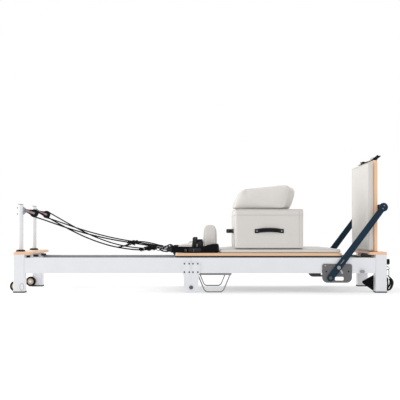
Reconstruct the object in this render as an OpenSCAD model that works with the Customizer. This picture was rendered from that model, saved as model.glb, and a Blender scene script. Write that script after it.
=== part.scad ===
// Folding pilates reformer: a low two-half frame with a sprung carriage, rope posts, footbar and jump board.
// Origin: on the floor, in the middle of the plan. +X points to the foot end, +Y to the far side, +Z up.
// Pieces that repeat on both sides are drawn on the near side (-Y) and mirrored.

/* [Frame] */
// Length over the outer faces of the legs
frame_len = 2400; // [2200:10:2800]
// Width over the outer faces of the rails
frame_w = 650; // [620:5:760]
// Height of the leg tops, where the end platforms sit
leg_top = 244; // [240:1:300]
// Leg size along the frame
leg_x = 72; // [60:1:90]
// Leg size across the frame
leg_y = 68; // [60:1:80]
// Thickness of the rubber foot under each leg
foot_t = 8; // [4:1:14]
// Height of a rail
rail_h = 100; // [90:1:120]
// Thickness of a rail
rail_t = 40; // [30:1:50]
// Wall of the rail and leg tubes
tube_wall = 3; // [2:0.5:5]
// Gap between the rail tops and the underside of the platforms
rail_drop = 19; // [17:1:24]

/* [Fold hinge] */
// Place of the fold seam, from the middle of the frame
seam_x = -57; // [-120:1:0]
// Height of the hinge pins above the floor
hinge_z = 35; // [30:1:45]
// Radius of the round ends of the hinge plates
hinge_r = 46; // [38:1:50]
// Thickness of one hinge plate layer
hinge_t = 4; // [3:0.5:6]
// Width of each half of the hinge plates on the rail
hinge_w = 57; // [52:1:80]
// Diameter of the hinge pins
hinge_pin_d = 16; // [10:1:20]

/* [End platforms] */
// Width of a platform at its ends
platform_x = 112; // [100:1:140]
// Depth of the hollow in a platform's inner edge
platform_hollow = 32; // [10:1:50]
// Thickness of the platforms
platform_t = 18; // [12:1:24]

/* [Carriage] */
// Length of the carriage board
carriage_len = 1077; // [900:1:1150]
// Width of the carriage board
carriage_w = 600; // [560:1:610]
// Thickness of the carriage board
board_t = 22; // [16:1:26]
// From the foot end of the frame to the carriage at rest
carriage_gap = 283; // [240:1:330]
// Thickness of the main pad
pad_t = 30; // [20:1:50]
// Thickness of the steel plate under the board
under_t = 6; // [4:0.5:8]
// Diameter of the track rollers
roller_d = 44; // [36:1:48]
// Width of the track rollers
roller_w = 18; // [12:1:20]

/* [Rests] */
// Length of the headrest
headrest_len = 160; // [120:1:170]
// Width of the headrest
headrest_w = 270; // [180:1:290]
// Thickness of the headrest pad
headrest_t = 42; // [30:1:55]
// Size of a shoulder rest along the frame
rest_x = 88; // [60:1:100]
// Width of a shoulder rest
rest_y = 124; // [90:1:135]
// Height of a shoulder rest
rest_h = 184; // [150:1:200]

/* [Box and cushion] */
// Size of the sitting box along the frame
box_x = 443; // [380:1:520]
// Size of the sitting box across the frame
box_y = 590; // [400:1:600]
// Height of the sitting box
box_h = 255; // [200:1:300]
// Clearance from the shoulder rests to the box
box_gap = 116; // [60:1:150]
// Length of the cushion's base
cushion_x = 350; // [280:1:400]
// Depth of the cushion
cushion_y = 380; // [300:1:420]
// Height of the cushion at its low end
cushion_low = 122; // [80:1:140]
// Height of the cushion at its high end
cushion_high = 148; // [100:1:180]

/* [Jump board] */
// Height of the jump board
jump_h = 594; // [450:1:650]
// Width of the jump board
jump_w = 600; // [500:1:610]
// Thickness of the jump board
jump_t = 19; // [15:1:25]
// Thickness of its pad
jump_pad_t = 37; // [25:1:38]
// From the foot end of the frame to the back of the jump board
jump_setback = 55; // [50:1:60]

/* [Footbar] */
// From the foot end of the frame to the footbar's pivot
pivot_back = 364; // [340:1:400]
// Height of the footbar's pivot
pivot_z = 96; // [90:1:110]
// Length of a footbar arm between centres
arm_len = 566; // [540:1:620]
// Lean of the arms from level
arm_lean = 53.2; // [50:0.1:54]
// Thickness of an arm
arm_t = 8; // [5:0.5:10]
// Diameter of the crossbar
crossbar_d = 42; // [32:1:42]
// Distance from the pivot to the index pin
pin_reach = 83.6; // [78:0.1:84]
// Diameter of the index pins
pin_d = 10; // [8:0.5:12]
// Swing of the footbar, in degrees
footbar_swing = 30; // [15:1:30]

/* [Rope posts] */
// Height of a post above the platform
post_h = 308; // [250:1:400]
// Diameter of a post
post_d = 35; // [28:1:40]
// Distance of each post from the middle
post_y = 211; // [180:1:214]
// From the head end of the frame to the posts
post_back = 23; // [22:1:60]
// Radius of the rope's path round a sheave
sheave_path_r = 21.5; // [18:0.5:22]
// Diameter of the ropes
rope_d = 7; // [6:0.5:8]

/* [Stands and wheels] */
// Width of a folding stand where it hangs from the rail
stand_top = 210; // [180:1:240]
// Width of a folding stand at the floor
stand_foot = 114; // [80:1:150]
// Diameter of a stand's rod
stand_rod = 8; // [6:0.5:12]
// Diameter of the transport wheels
wheel_d = 70; // [50:1:72]
// Width of the transport wheels
wheel_w = 22; // [16:1:24]

/* [Hidden] */
$fn = 48;

// Clearances
run = 0.05;        // radial, round a pin that turns or slides
gap = 0.3;         // between pieces that move past each other
seam_gap = 1;      // between the two halves of the frame
eps = 0.5;         // how far a cut runs past the face it opens

// Colours
white = "#e6e7ea";
ply = "#e9b98f";
cream = "#d8d5d1";
black = "#1a1a1d";
navy = "#1f3445";
grey = "#6f6f71";
steel = "#c4c6ca";

// Frame lines
half_w = frame_w / 2;
leg_out = frame_len / 2;
leg_in = leg_out - leg_x;
leg_inner_y = half_w - leg_y;
rail_top = leg_top - rail_drop;
rail_z = rail_top - rail_h;
rail_inner_y = half_w - rail_t;
platform_top = leg_top + platform_t;

// Hinge: layer b lies on the rail, layer a outside it
layer_b = half_w;
layer_a = half_w + hinge_t + gap;
hinge_face = layer_a + hinge_t;
hinge_plate_top = rail_top - 29;
hinge_plate_bottom = rail_z - 7;
hinge_seat_z = 1.5;
screw_d = 6;
screw_head_t = 1.5;
hinge_screw_places = [
  for (x = [12, hinge_w - 14], z = [hinge_plate_bottom + 15 - hinge_z, hinge_plate_top - 9 - hinge_z]) [x, z]
];

// Tracks: an L-shaped ledge on each rail's inner face, with the rollers on it
ledge_w = 23;
ledge_t = 6;
track_web = 4;
track_inner_y = rail_inner_y - ledge_w;
track_z = rail_top - 60;
ledge_top = track_z + ledge_t;
axle_z = ledge_top + roller_d / 2 + gap;
axle_d = 12;
roller_y = rail_inner_y - track_web - 1 - roller_w;

// Carriage, from the underside up
under_z = rail_top + 1;
board_z = under_z + under_t;
board_top = board_z + board_t;
carriage_foot = leg_out - carriage_gap;
carriage_head = carriage_foot - carriage_len;
carriage_half = carriage_w / 2;
pad_top = board_top + pad_t;
rests_x = carriage_head + 182;
rest_mid_y = 172;
neck_half = 100;
neck_x = rests_x + 28;
pad_head = rests_x + rest_x + 14;
headrest_x0 = rests_x - 12 - headrest_len;
headrest_x1 = rests_x - 12;
headrest_board_t = 12;
headrest_setback = 16;
bracket_y = track_inner_y - 16;
bracket_t = 6;
roller_inset = 60;
frame_inset = 3;
bracket_half = 30;
spring_anchor_x = carriage_foot - 312;

// Box and cushion
box_x0 = rests_x + rest_x + box_gap;
box_x1 = box_x0 + box_x;
box_z = pad_top + gap;
box_top = box_z + box_h;
handle_z = box_z + 112;
handle_w = 25;
strap_t = 3;
cushion_mid_x = box_x0 + 172;
cushion_mid_y = -72;
cushion_yaw = -12;
cushion_lean = 66;
cushion_z = box_top + gap;

// Springs and their bar
spring_bar_x = leg_out - 160;
spring_d = 20;
spring_z = rail_top - 10;
spring_step = 60;
spring_eye = 12;

// Footbar
pivot_x = leg_out - pivot_back;
plate_t = 6;
plate_face = half_w + plate_t;
arm_y = plate_face + 2;
arm_face = arm_y + arm_t;
arm_w_low = 44;
arm_w_high = 38;
arm_cap_d = 56;
arc_steps = 24;
cap_steps = 8;
plate_x0 = pivot_x - 52;
plate_x1 = pivot_x + 139;
plate_z0 = pivot_z - 31;
plate_z1 = pivot_z + 90;
plate_screw_places = [for (x = [plate_x0 + 26, plate_x1 - 22]) [x, rail_z + 12]];
index_holes = [for (a = [112, 132]) [pivot_x + pin_reach * cos(a), pivot_z + pin_reach * sin(a)]];
bar_x = pivot_x + arm_len * cos(arm_lean);
bar_z = pivot_z + arm_len * sin(arm_lean);
pivot_d = 12;

// Jump board
jump_x1 = leg_out - jump_setback;
jump_x0 = jump_x1 - jump_t;
jump_z = platform_top + gap;
jump_top = jump_z + jump_h;
peg_d = 12;
peg_y = 200;

// Posts, pulleys and sheaves
post_x = -leg_out + post_back;
post_top = platform_top + post_h;
sheave_x = post_x + 89;
sheave_z = post_top - 57;
sheave_w = 12;
cheek_t = 3;
cheek_y = sheave_w / 2 + 0.7;
sheave_pin_d = 8;
pulley_tilt = 19;
rope_reach = sheave_path_r + rope_d / 2;
bracket_bolts_z = [sheave_z + 36, sheave_z - 4];
block_len = 56;
eye_d = 6;
eye_x = sheave_x - block_len * cos(pulley_tilt);
eye_z = sheave_z + block_len * sin(pulley_tilt);

// Route of the near rope: from the carriage eye, under and round the sheave, and back to the strap ring.
// The stretch round the sheave follows its path radius; the other points were set by hand.
rope_out = [
  [-180, -150, 256], [-240, -158, 278], [-320, -168, 297], [-440, -181, 317], [-580, -195, 341],
  [-720, -204, 373], [-850, -210, 410], [-950, -211, 444], [-1030, -211, 472]
];
rope_back = [
  [-1010, -211, 493], [-930, -212, 447], [-850, -214, 404], [-760, -217, 361], [-670, -220, 326],
  [-580, -223, 299], [-490, -226, 282], [-410, -229, 274], [-345, -230, 275], [-288, -231, 282]
];
wrap_from = -107;
wrap_turn = 194;
wrap_steps = 9;

// Rings at the ropes' free ends
ring_r = 13;
ring_wire = 5;
rope_end = rope_back[len(rope_back) - 1];

// Bumpers under the head platform: each next one sits nearer the platform's free edge
bumper_shift = 12;

// Transport wheels
wheel_x = -leg_out - 5;
wheel_z = wheel_d / 2 + 2;
wheel_y = leg_inner_y - 7;
wheel_pin_d = 10;

// Stops
stop_pin_x = leg_out - 160;
stop_pin_z = rail_z + 12;
stop_pin_d = 10;

// Stands
stand_x = 90;
stand_z = rail_z - 7;
stand_y = half_w - 25;

// Knob on the foot end
knob_y = half_w - leg_y / 2;
knob_z = leg_top - 46;
knob_d = 37;
hook_reach = 13;

// A box between two corners
module block(x0, x1, y0, y1, z0, z1) {
  translate([x0, y0, z0]) cube([x1 - x0, y1 - y0, z1 - z0]);
}

// Round bars along each axis
module rod_x(x0, x1, y, z, d) { translate([x0, y, z]) rotate([0, 90, 0]) cylinder(h = x1 - x0, d = d); }
module rod_y(y0, y1, x, z, d) { translate([x, y0, z]) rotate([-90, 0, 0]) cylinder(h = y1 - y0, d = d); }
module rod_z(z0, z1, x, y, d) { translate([x, y, z0]) cylinder(h = z1 - z0, d = d); }

// A rectangle with one radius at its low corners and one at its high corners
module round_rect(x0, x1, y0, y1, low_r, high_r) {
  polygon([
    [x0 + low_r, y0], [x1 - low_r, y0], [x1, y0 + low_r], [x1, y1 - high_r],
    [x1 - high_r, y1], [x0 + high_r, y1], [x0, y1 - high_r], [x0, y0 + low_r]
  ]);
  for (x = [x0 + low_r, x1 - low_r]) translate([x, y0 + low_r]) circle(low_r);
  for (x = [x0 + high_r, x1 - high_r]) translate([x, y1 - high_r]) circle(high_r);
}

// Flat shapes given thickness: in plan, upright along X, and upright across X
module in_plan(z0, z1) { translate([0, 0, z0]) linear_extrude(z1 - z0) children(); }
module along_x(y0, y1) { translate([0, y1, 0]) rotate([90, 0, 0]) linear_extrude(y1 - y0) children(); }
module across_x(x0, x1) { translate([x0, 0, 0]) rotate([90, 0, 90]) linear_extrude(x1 - x0) children(); }

module both_sides() {
  children();
  mirror([0, 1, 0]) children();
}

// A ring of round wire about the Y axis
module ring_y(x, y, z, r, wire) {
  translate([x, y, z]) rotate([90, 0, 0]) rotate_extrude() translate([r, 0]) circle(d = wire);
}

// Tube swept along a list of points, closed at both ends, with its sides kept level with the Y axis
function unit(v) = v / norm(v);
function tangent(p, i) = unit(p[min(i + 1, len(p) - 1)] - p[max(i - 1, 0)]);
function side_of(t) = unit([0, 1, 0] - t[1] * t);
function ring_at(p, i, r, sides) =
  let (t = tangent(p, i), u = side_of(t), v = cross(t, u))
  [for (k = [0 : sides - 1]) p[i] + r * (cos(360 * k / sides) * u + sin(360 * k / sides) * v)];
module sweep(p, r, sides) {
  points = [for (i = [0 : len(p) - 1]) each ring_at(p, i, r, sides)];
  walls = [
    for (i = [0 : len(p) - 2], k = [0 : sides - 1])
    let (a = i * sides + k, b = i * sides + (k + 1) % sides)
    [a, a + sides, b + sides, b]
  ];
  last = (len(p) - 1) * sides;
  ends = [[for (k = [0 : sides - 1]) k], [for (k = [sides - 1 : -1 : 0]) last + k]];
  polyhedron(points, concat(walls, ends), convexity = 6);
}

// A smooth curve through the points, with one extra point in each span
function between(a, b, c, d) = (9 * (b + c) - a - d) / 16;
function finer(p) = [
  for (i = [0 : len(p) - 2])
  each [p[i], between(p[max(i - 1, 0)], p[i], p[i + 1], p[min(i + 2, len(p) - 1)])],
  p[len(p) - 1]
];

// ---- frame halves ----

// One pair of rails between two places
module rails(x0, x1) {
  both_sides() difference() {
    across_x(x0, x1) round_rect(-half_w, -rail_inner_y, rail_z, rail_top, 4, 4);
    across_x(x0 - eps, x1 + eps)
      round_rect(
        -half_w + tube_wall, -rail_inner_y - tube_wall, rail_z + tube_wall, rail_top - tube_wall, 2, 2
      );
  }
}

// One pair of legs, from x0 to x1
module legs(x0, x1) {
  both_sides() difference() {
    in_plan(foot_t, leg_top) round_rect(x0, x1, -half_w, -leg_inner_y, 5, 5);
    in_plan(foot_t - eps, leg_top + eps)
      round_rect(x0 + tube_wall, x1 - tube_wall, -half_w + tube_wall, -leg_inner_y - tube_wall, 3, 3);
  }
}

// Rubber feet: a tread under the leg and a plug up inside the tube
module leg_pads(x0, x1) {
  lip = 2;
  both_sides() {
    in_plan(0, foot_t) round_rect(x0 - lip, x1 + lip, -half_w - lip, -leg_inner_y + lip, 8, 8);
    in_plan(foot_t, foot_t + 12)
      round_rect(x0 + tube_wall, x1 - tube_wall, -half_w + tube_wall, -leg_inner_y - tube_wall, 3, 3);
  }
}

// Tracks on the rails' inner faces
module tracks(x0, x1) {
  both_sides() across_x(x0, x1) polygon([
    [-rail_inner_y, track_z], [-track_inner_y, track_z], [-track_inner_y, ledge_top],
    [-rail_inner_y + track_web, ledge_top], [-rail_inner_y + track_web, rail_top - 3],
    [-rail_inner_y, rail_top - 3]
  ]);
}

// Plan of a platform drawn at the foot end; its inner edge is hollowed by a shallow arc
module platform_plan() {
  x1 = leg_out + 4;
  x0 = x1 - platform_x;
  span = half_w * 0.8;
  arc_r = (span * span + platform_hollow * platform_hollow) / (2 * platform_hollow);
  difference() {
    round_rect(x0, x1, -half_w, half_w, 16, 16);
    translate([x0 + platform_hollow - arc_r, 0]) circle(arc_r, $fn = 180);
  }
}

module cross_beam(x0, x1) {
  difference() {
    along_x(-leg_inner_y, leg_inner_y) round_rect(x0, x1, rail_z + 25, leg_top - 4, 4, 4);
    along_x(-leg_inner_y - eps, leg_inner_y + eps)
      round_rect(x0 + tube_wall, x1 - tube_wall, rail_z + 25 + tube_wall, leg_top - 4 - tube_wall, 2, 2);
  }
}

module foot_rails() {
  color(white) difference() {
    rails(seam_x + seam_gap / 2, leg_in);
    rod_y(-half_w - eps, -rail_inner_y + eps, stop_pin_x, stop_pin_z, stop_pin_d + 2 * run);
  }
}
module foot_legs() { color(white) legs(leg_in, leg_out); }
module foot_leg_pads() {
  color(black) {
    leg_pads(leg_in, leg_out);
    both_sides() block(
      plate_x0 - 72, plate_x0 - 7, -half_w + 6, -rail_inner_y - 6, rail_z - 15, rail_z
    );
  }
}
module foot_cross_beam() { color(black) cross_beam(leg_in + 20, leg_in + 60); }

module foot_platform() {
  color(ply) difference() {
    in_plan(leg_top, platform_top) platform_plan();
    for (y = [-peg_y, peg_y])
      rod_z(leg_top - eps, platform_top + eps, (jump_x0 + jump_x1) / 2, y, peg_d + 1);
  }
}

module foot_tracks() {
  color(steel) tracks(seam_x + seam_gap / 2, leg_in - 6);
}

module head_rails() { color(white) rails(-leg_in, seam_x - seam_gap / 2); }
module head_legs() { color(white) legs(-leg_out, -leg_in); }
module head_leg_pads() { color(black) leg_pads(-leg_out, -leg_in); }
module head_cross_beam() { color(white) cross_beam(-leg_in - 60, -leg_in - 20); }
module head_platform() { color(ply) in_plan(leg_top, platform_top) mirror([1, 0]) platform_plan(); }
module head_tracks() { color(steel) tracks(-leg_in + 6, seam_x - seam_gap / 2); }

// Rubber stops on the head cross beam
module head_bumpers() {
  color(black) for (i = [-1 : 1]) translate([(i + 1) * bumper_shift, i * post_y, 0])
    block(-leg_in - 20, -leg_in + 12, -13, 13, rail_top - 5, rail_top + 12);
}

// ---- fold hinge ----

// Upright outline of one half's hinge plate, drawn from the hinge pin towards +X
module hinge_half_outline() {
  s = seam_gap / 2;
  polygon([
    [s, 0], [hinge_r, 0], [hinge_r + 4, hinge_plate_bottom - hinge_z],
    [hinge_w, hinge_plate_bottom - hinge_z + 8], [hinge_w, hinge_plate_top - hinge_z],
    [s, hinge_plate_top - hinge_z]
  ]);
}

// One side's hinge leaf: a round end in one layer, and both layers above it
module hinge_leaf(knuckle_layer, other_layer, pin_clearance) {
  translate([seam_x, 0, hinge_z]) difference() {
    union() {
      along_x(-knuckle_layer - hinge_t, -knuckle_layer) {
        hinge_half_outline();
        intersection() {
          circle(hinge_r, $fn = 96);
          translate([-hinge_r, hinge_seat_z - hinge_z]) square([2 * hinge_r, 2 * hinge_r]);
        }
      }
      along_x(-other_layer - hinge_t, -other_layer) difference() {
        hinge_half_outline();
        circle(hinge_r + gap, $fn = 96);
      }
      if (other_layer > knuckle_layer)
        along_x(-other_layer, -knuckle_layer - hinge_t) difference() {
          hinge_half_outline();
          circle(hinge_r + gap, $fn = 96);
        }
      else
        along_x(-knuckle_layer, -other_layer - hinge_t) difference() {
          hinge_half_outline();
          circle(hinge_r + gap, $fn = 96);
        }
    }
    rod_y(-hinge_face - eps, -half_w + eps, 0, 0, hinge_pin_d + 2 * pin_clearance);
    for (p = hinge_screw_places) rod_y(-hinge_face - eps, -half_w + eps, p[0], p[1], screw_d);
  }
}

module foot_hinge_plates() {
  color(white) both_sides() hinge_leaf(layer_a, layer_b, 0);
}
// The head half is the same leaf turned over about the seam, with its round end in the inner layer
module head_hinge_plates() {
  color(white) both_sides() translate([2 * seam_x, 0, 0]) mirror([1, 0, 0]) hinge_leaf(layer_b, layer_a, run);
}

// The frame's four pivots: two hinge pins and two footbar bolts, each with a hexagon nut
module pivot_bolts() {
  color(steel) both_sides() {
    pivot_bolt(seam_x, hinge_z, hinge_pin_d, hinge_face, 5);
    pivot_bolt(pivot_x, pivot_z, pivot_d, arm_face + gap, 4);
  }
}
module pivot_bolt(x, z, d, head_y, head_t) {
  rod_y(-head_y - head_t, -head_y, x, z, d + 9);
  rod_y(-head_y, -half_w, x, z, d);
  translate([x, -half_w, z]) rotate([-90, 0, 0]) cylinder(h = 9, d = d + 9, $fn = 6);
}

// A flat-headed screw whose shank ends on the rail
module plate_screw(x, z, face) {
  rod_y(-face, -half_w, x, z, screw_d);
  rod_y(-face - screw_head_t, -face, x, z, screw_d + 4);
}

module foot_screws() {
  color(black) both_sides() {
    for (p = hinge_screw_places) plate_screw(seam_x + p[0], hinge_z + p[1], hinge_face);
    for (p = plate_screw_places) plate_screw(p[0], p[1], plate_face);
  }
}
module head_screws() {
  color(black) both_sides() for (p = hinge_screw_places)
    plate_screw(seam_x - p[0], hinge_z + p[1], hinge_face);
}

// ---- springs and stops ----

module spring_bar() {
  color(black) {
    block(spring_bar_x, spring_bar_x + 16, -track_inner_y, track_inner_y, spring_z - 14, spring_z + 16);
    both_sides() block(
      spring_bar_x, spring_bar_x + 16, -rail_inner_y + track_web, -track_inner_y, ledge_top, spring_z + 10
    );
  }
}

// Five coil springs, each a plain tube of the coil's outer size with an eye at both ends
module springs() {
  eye = spring_eye;
  color(steel) for (i = [-2 : 2]) {
    rod_x(spring_anchor_x + eye, spring_bar_x - eye, i * spring_step, spring_z, spring_d);
    rod_x(spring_anchor_x, spring_anchor_x + eye, i * spring_step, spring_z, spring_d / 3);
    rod_x(spring_bar_x - eye, spring_bar_x, i * spring_step, spring_z, spring_d / 3);
  }
}

// Stop blocks: the carriage brackets come to rest against them
module stop_blocks() {
  y0 = bracket_y - 4;
  y1 = track_inner_y - 1;
  color(black) difference() {
    both_sides() {
      block(carriage_foot - frame_inset + gap, stop_pin_x + 18, -y1, -y0, ledge_top + 4, ledge_top + 28);
      block(stop_pin_x - 18, stop_pin_x + 18, -y1, -y0, stop_pin_z - 10, ledge_top + 4);
    }
    rod_y(-y1 - eps, -y1 + 8, stop_pin_x, stop_pin_z, stop_pin_d + 2 * run);
  }
}

// Sprung pin through the near rail into the stop block, with an oval knob
module stop_pin() {
  color(steel) {
    rod_y(-half_w - 6, -track_inner_y + 8, stop_pin_x, stop_pin_z, stop_pin_d);
    translate([stop_pin_x, -half_w - 6, stop_pin_z]) rotate([90, 0, 0])
      linear_extrude(10) {
        square([12, 19], center = true);
        for (x = [-6, 6]) translate([x, 0]) circle(d = 19);
      }
    rod_y(-half_w - 6, -half_w - gap, stop_pin_x, stop_pin_z, 15);
  }
}

// ---- footbar ----

// Points on an arc about the footbar's pivot, and about a place on it
function pivot_arc(r, from, to) = [
  for (i = [0 : arc_steps]) let (a = from + (to - from) * i / arc_steps)
  [pivot_x + r * cos(a), pivot_z + r * sin(a)]
];
function cap_arc(at, r, from) = [
  for (i = [1 : cap_steps - 1]) let (a = from + 180 * i / cap_steps)
  [pivot_x + pin_reach * cos(at) + r * cos(a), pivot_z + pin_reach * sin(at) + r * sin(a)]
];

// Slot that the index pin runs in: an arc about the pivot with round ends
module pin_slot(w) {
  high = arm_lean;
  low = high - footbar_swing;
  polygon(concat(
    pivot_arc(pin_reach + w / 2, low, high), cap_arc(high, w / 2, high),
    pivot_arc(pin_reach - w / 2, high, low), cap_arc(low, w / 2, low + 180)
  ));
}

module footbar_plates() {
  color(grey) both_sides() difference() {
    along_x(-plate_face, -half_w) difference() {
      round_rect(plate_x0, plate_x1, plate_z0, plate_z1, 34, 15);
      pin_slot(pin_d + 1.5);
      for (p = index_holes) translate(p) circle(d = pin_d + 1.5);
      round_rect(pivot_x + 30, pivot_x + 86, pivot_z - 17, pivot_z + 7, 8, 8);
    }
    rod_y(-plate_face - eps, -half_w + eps, pivot_x, pivot_z, pivot_d);
    for (p = plate_screw_places) rod_y(-plate_face - eps, -half_w + eps, p[0], p[1], screw_d);
  }
}

// Flat arms, each with a round boss at the crossbar and a slot by the index pin
module footbar_arms() {
  color(navy) both_sides() difference() {
    union() {
      translate([pivot_x, 0, pivot_z]) rotate([0, -arm_lean, 0]) along_x(-arm_face, -arm_y) {
        polygon([
          [0, -arm_w_low / 2], [arm_len, -arm_w_high / 2], [arm_len, arm_w_high / 2], [0, arm_w_low / 2]
        ]);
        circle(d = arm_w_low);
      }
      rod_y(-arm_face - 3, -arm_y, bar_x, bar_z, arm_cap_d);
    }
    rod_y(-arm_face - eps, -arm_y + eps, pivot_x, pivot_z, pivot_d + 2 * run);
    translate([pivot_x, 0, pivot_z]) rotate([0, -arm_lean, 0]) {
      rod_y(-arm_face - eps, -arm_y + eps, pin_reach, 0, pin_d + 2 * run);
      along_x(-arm_face - eps, -arm_y + eps) round_rect(pin_reach + 20, pin_reach + 62, -4, 4, 3.9, 3.9);
    }
  }
}

module footbar_bar() {
  color(black) rod_y(-arm_y, arm_y, bar_x, bar_z, crossbar_d);
}

// Sprung pin with a round pull knob
module index_pin() {
  x = pivot_x + pin_reach * cos(arm_lean);
  z = pivot_z + pin_reach * sin(arm_lean);
  rod_y(-arm_face - 6, -half_w - 1, x, z, pin_d);
  rod_y(-arm_face - 6, -arm_face - gap, x, z, pin_d + 6);
  translate([x, -arm_face - 18, z]) rotate([-90, 0, 0]) cylinder(h = 12, d1 = 24, d2 = 20);
}
module front_index_pin() { color(steel) index_pin(); }
module rear_index_pin() { color(steel) mirror([0, 1, 0]) index_pin(); }

// ---- foot end hook, knob and spare strap ----

module end_knob() {
  color(black) {
    rod_x(leg_out + gap, leg_out + 8, -knob_y, knob_z, 14);
    rod_x(leg_out + 8, leg_out + 22, -knob_y, knob_z, knob_d);
  }
}

// An eye on the leg, a ring through it and a snap hook below
module snap_hook() {
  x = leg_out + hook_reach;
  color(steel) {
    block(leg_out, leg_out + 3, -knob_y - 9, -knob_y + 9, knob_z - 46, knob_z - 26);
    rod_x(leg_out + 3, x, -knob_y, knob_z - 32, 6);
    ring_y(x, -knob_y, knob_z - 42, 10, 4);
    translate([0, -knob_y, 0]) for (s = [-1, 1]) rod_z(knob_z - 84, knob_z - 58, x + s * 8, 0, 5);
    ring_half(x, knob_z - 58, 8, 5, 0);
    ring_half(x, knob_z - 84, 8, 5, 180);
  }
}
// Half a ring of wire, upright along X: turn 0 is the upper half, 180 the lower
module ring_half(x, z, r, wire, turn) {
  translate([x, -knob_y, z]) rotate([90, 0, 0]) rotate([0, 0, turn])
    rotate_extrude(angle = 180) translate([r, 0]) circle(d = wire);
}

// Folded spare strap: it hangs outside the near leg and lies round behind it
module spare_loop() {
  z_hook = knob_z - 95;
  color(black) {
    along_x(-leg_inner_y + 3, -leg_inner_y + 43) polygon([
      [leg_out - 140, 32], [leg_out - 118, 8], [leg_out - 60, 4], [leg_out + 34, 14],
      [leg_out + 40, 52], [leg_out + 22, z_hook], [leg_out + 4, z_hook + 6], [leg_out - 60, z_hook],
      [leg_out - 140, 54]
    ]);
    block(leg_out + 4, leg_out + 34, -half_w + 14, -leg_inner_y + 3, 14, z_hook);
  }
}

// ---- head end: posts, pulleys, wheels ----

module rope_posts() {
  color(white) both_sides() difference() {
    rod_z(platform_top, post_top, post_x, -post_y, post_d);
    rod_z(platform_top - eps, post_top + eps, post_x, -post_y, post_d - 2 * tube_wall);
    for (z = bracket_bolts_z) rod_x(post_x - post_d, post_x + post_d, -post_y, z, screw_d);
  }
}

// Base collars and the plugs in the post tops
module post_collars() {
  color(black) both_sides() translate([post_x, -post_y, 0]) {
    translate([0, 0, platform_top]) difference() {
      union() {
        cylinder(h = 6, d = post_d + 26);
        translate([0, 0, 6]) cylinder(h = 6, d1 = post_d + 26, d2 = post_d + 12);
      }
      translate([0, 0, -eps]) cylinder(h = 12 + 2 * eps, d = post_d);
    }
    translate([0, 0, post_top]) cylinder(h = 3, d = post_d - 1);
    translate([0, 0, post_top - 10]) cylinder(h = 10, d = post_d - 2 * tube_wall);
  }
}

// V-shaped strap with an eye at its tip, and the two bolts through the post
module pulley_brackets() {
  face = post_x + post_d / 2;
  color(steel) both_sides() translate([0, -post_y, 0]) {
    difference() {
      along_x(-2.5, 2.5) polygon([
        [face, bracket_bolts_z[0] + 6], [face, bracket_bolts_z[1] - 6], [face + 3, bracket_bolts_z[1] - 6],
        [eye_x + 6, eye_z - 6], [eye_x + 6, eye_z + 6], [face + 3, bracket_bolts_z[0] + 6]
      ]);
      rod_y(-3, 3, eye_x, eye_z, eye_d + 2 * run);
    }
    for (z = bracket_bolts_z) {
      rod_x(post_x - post_d / 2 - 5, post_x - post_d / 2, 0, z, 12);
      rod_x(post_x - post_d / 2, face, 0, z, screw_d);
    }
  }
}

// Pulley block: two cheeks joined by a bridge at the eye, with the sheave's pin
module pulley_block() {
  translate([sheave_x, -post_y, sheave_z]) rotate([0, pulley_tilt, 0]) {
    both_sides() along_x(-cheek_y - cheek_t, -cheek_y) {
      circle(d = 44);
      polygon([
        [0, -22], [0, 22], [-36, 13], [-block_len - 6, 8], [-block_len - 6, -8], [-36, -13]
      ]);
    }
    block(-44, -rope_reach - 3, -cheek_y, cheek_y, -9, 9);
    rod_y(-cheek_y, cheek_y, 0, 0, sheave_pin_d);
    rod_y(-cheek_y, cheek_y, -block_len, 0, eye_d);
  }
}
module pulley_blocks() {
  color(black) both_sides() pulley_block();
}

// Grooved sheave
module sheave() {
  r_out = rope_reach + 1.5;
  r_in = sheave_path_r - rope_d / 2 - 2 * gap;
  groove = rope_d / 2 + 0.8;
  bore = sheave_pin_d / 2 + run;
  translate([sheave_x, -post_y, sheave_z]) rotate([90, 0, 0]) rotate_extrude($fn = 72) polygon([
    [bore, -sheave_w / 2], [r_out, -sheave_w / 2], [r_out, -groove], [r_in, -groove + 0.6],
    [r_in, groove - 0.6], [r_out, groove], [r_out, sheave_w / 2], [bore, sheave_w / 2]
  ]);
}
module front_sheave() { color(grey) sheave(); }
module rear_sheave() { color(grey) mirror([0, 1, 0]) sheave(); }

// Wheel brackets inside the head legs, with an oval boss outside
module wheel_brackets() {
  color(white) both_sides() {
    along_x(-leg_inner_y, -leg_inner_y + 5)
      round_rect(wheel_x - 12, -leg_in - 12, wheel_z - 17, wheel_z + 17, 10, 10);
    rod_y(-leg_inner_y + 5, -wheel_y + wheel_w + 2, wheel_x, wheel_z, wheel_pin_d);
    rod_y(-wheel_y + wheel_w + 2, -wheel_y + wheel_w + 5, wheel_x, wheel_z, wheel_pin_d + 6);
    along_x(-half_w - 3, -half_w)
      round_rect(-leg_in - 30, -leg_in - 2, wheel_z - 24, wheel_z + 26, 12, 12);
  }
}

module transport_wheel() {
  y0 = -wheel_y + 0.5;
  r = wheel_d / 2;
  w = wheel_w / 2;
  bore = wheel_pin_d / 2 + run;
  translate([wheel_x, y0 + w, wheel_z]) rotate([90, 0, 0]) rotate_extrude($fn = 96) polygon([
    [bore, -w], [r - 10, -w], [r - 8, -w + 3], [r - 4, -w + 1], [r, -w + 5],
    [r, w - 5], [r - 4, w - 1], [r - 8, w - 3], [r - 10, w], [bore, w]
  ]);
}
module front_transport_wheel() { color(black) transport_wheel(); }
module rear_transport_wheel() { color(black) mirror([0, 1, 0]) transport_wheel(); }

// ---- ropes ----

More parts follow.
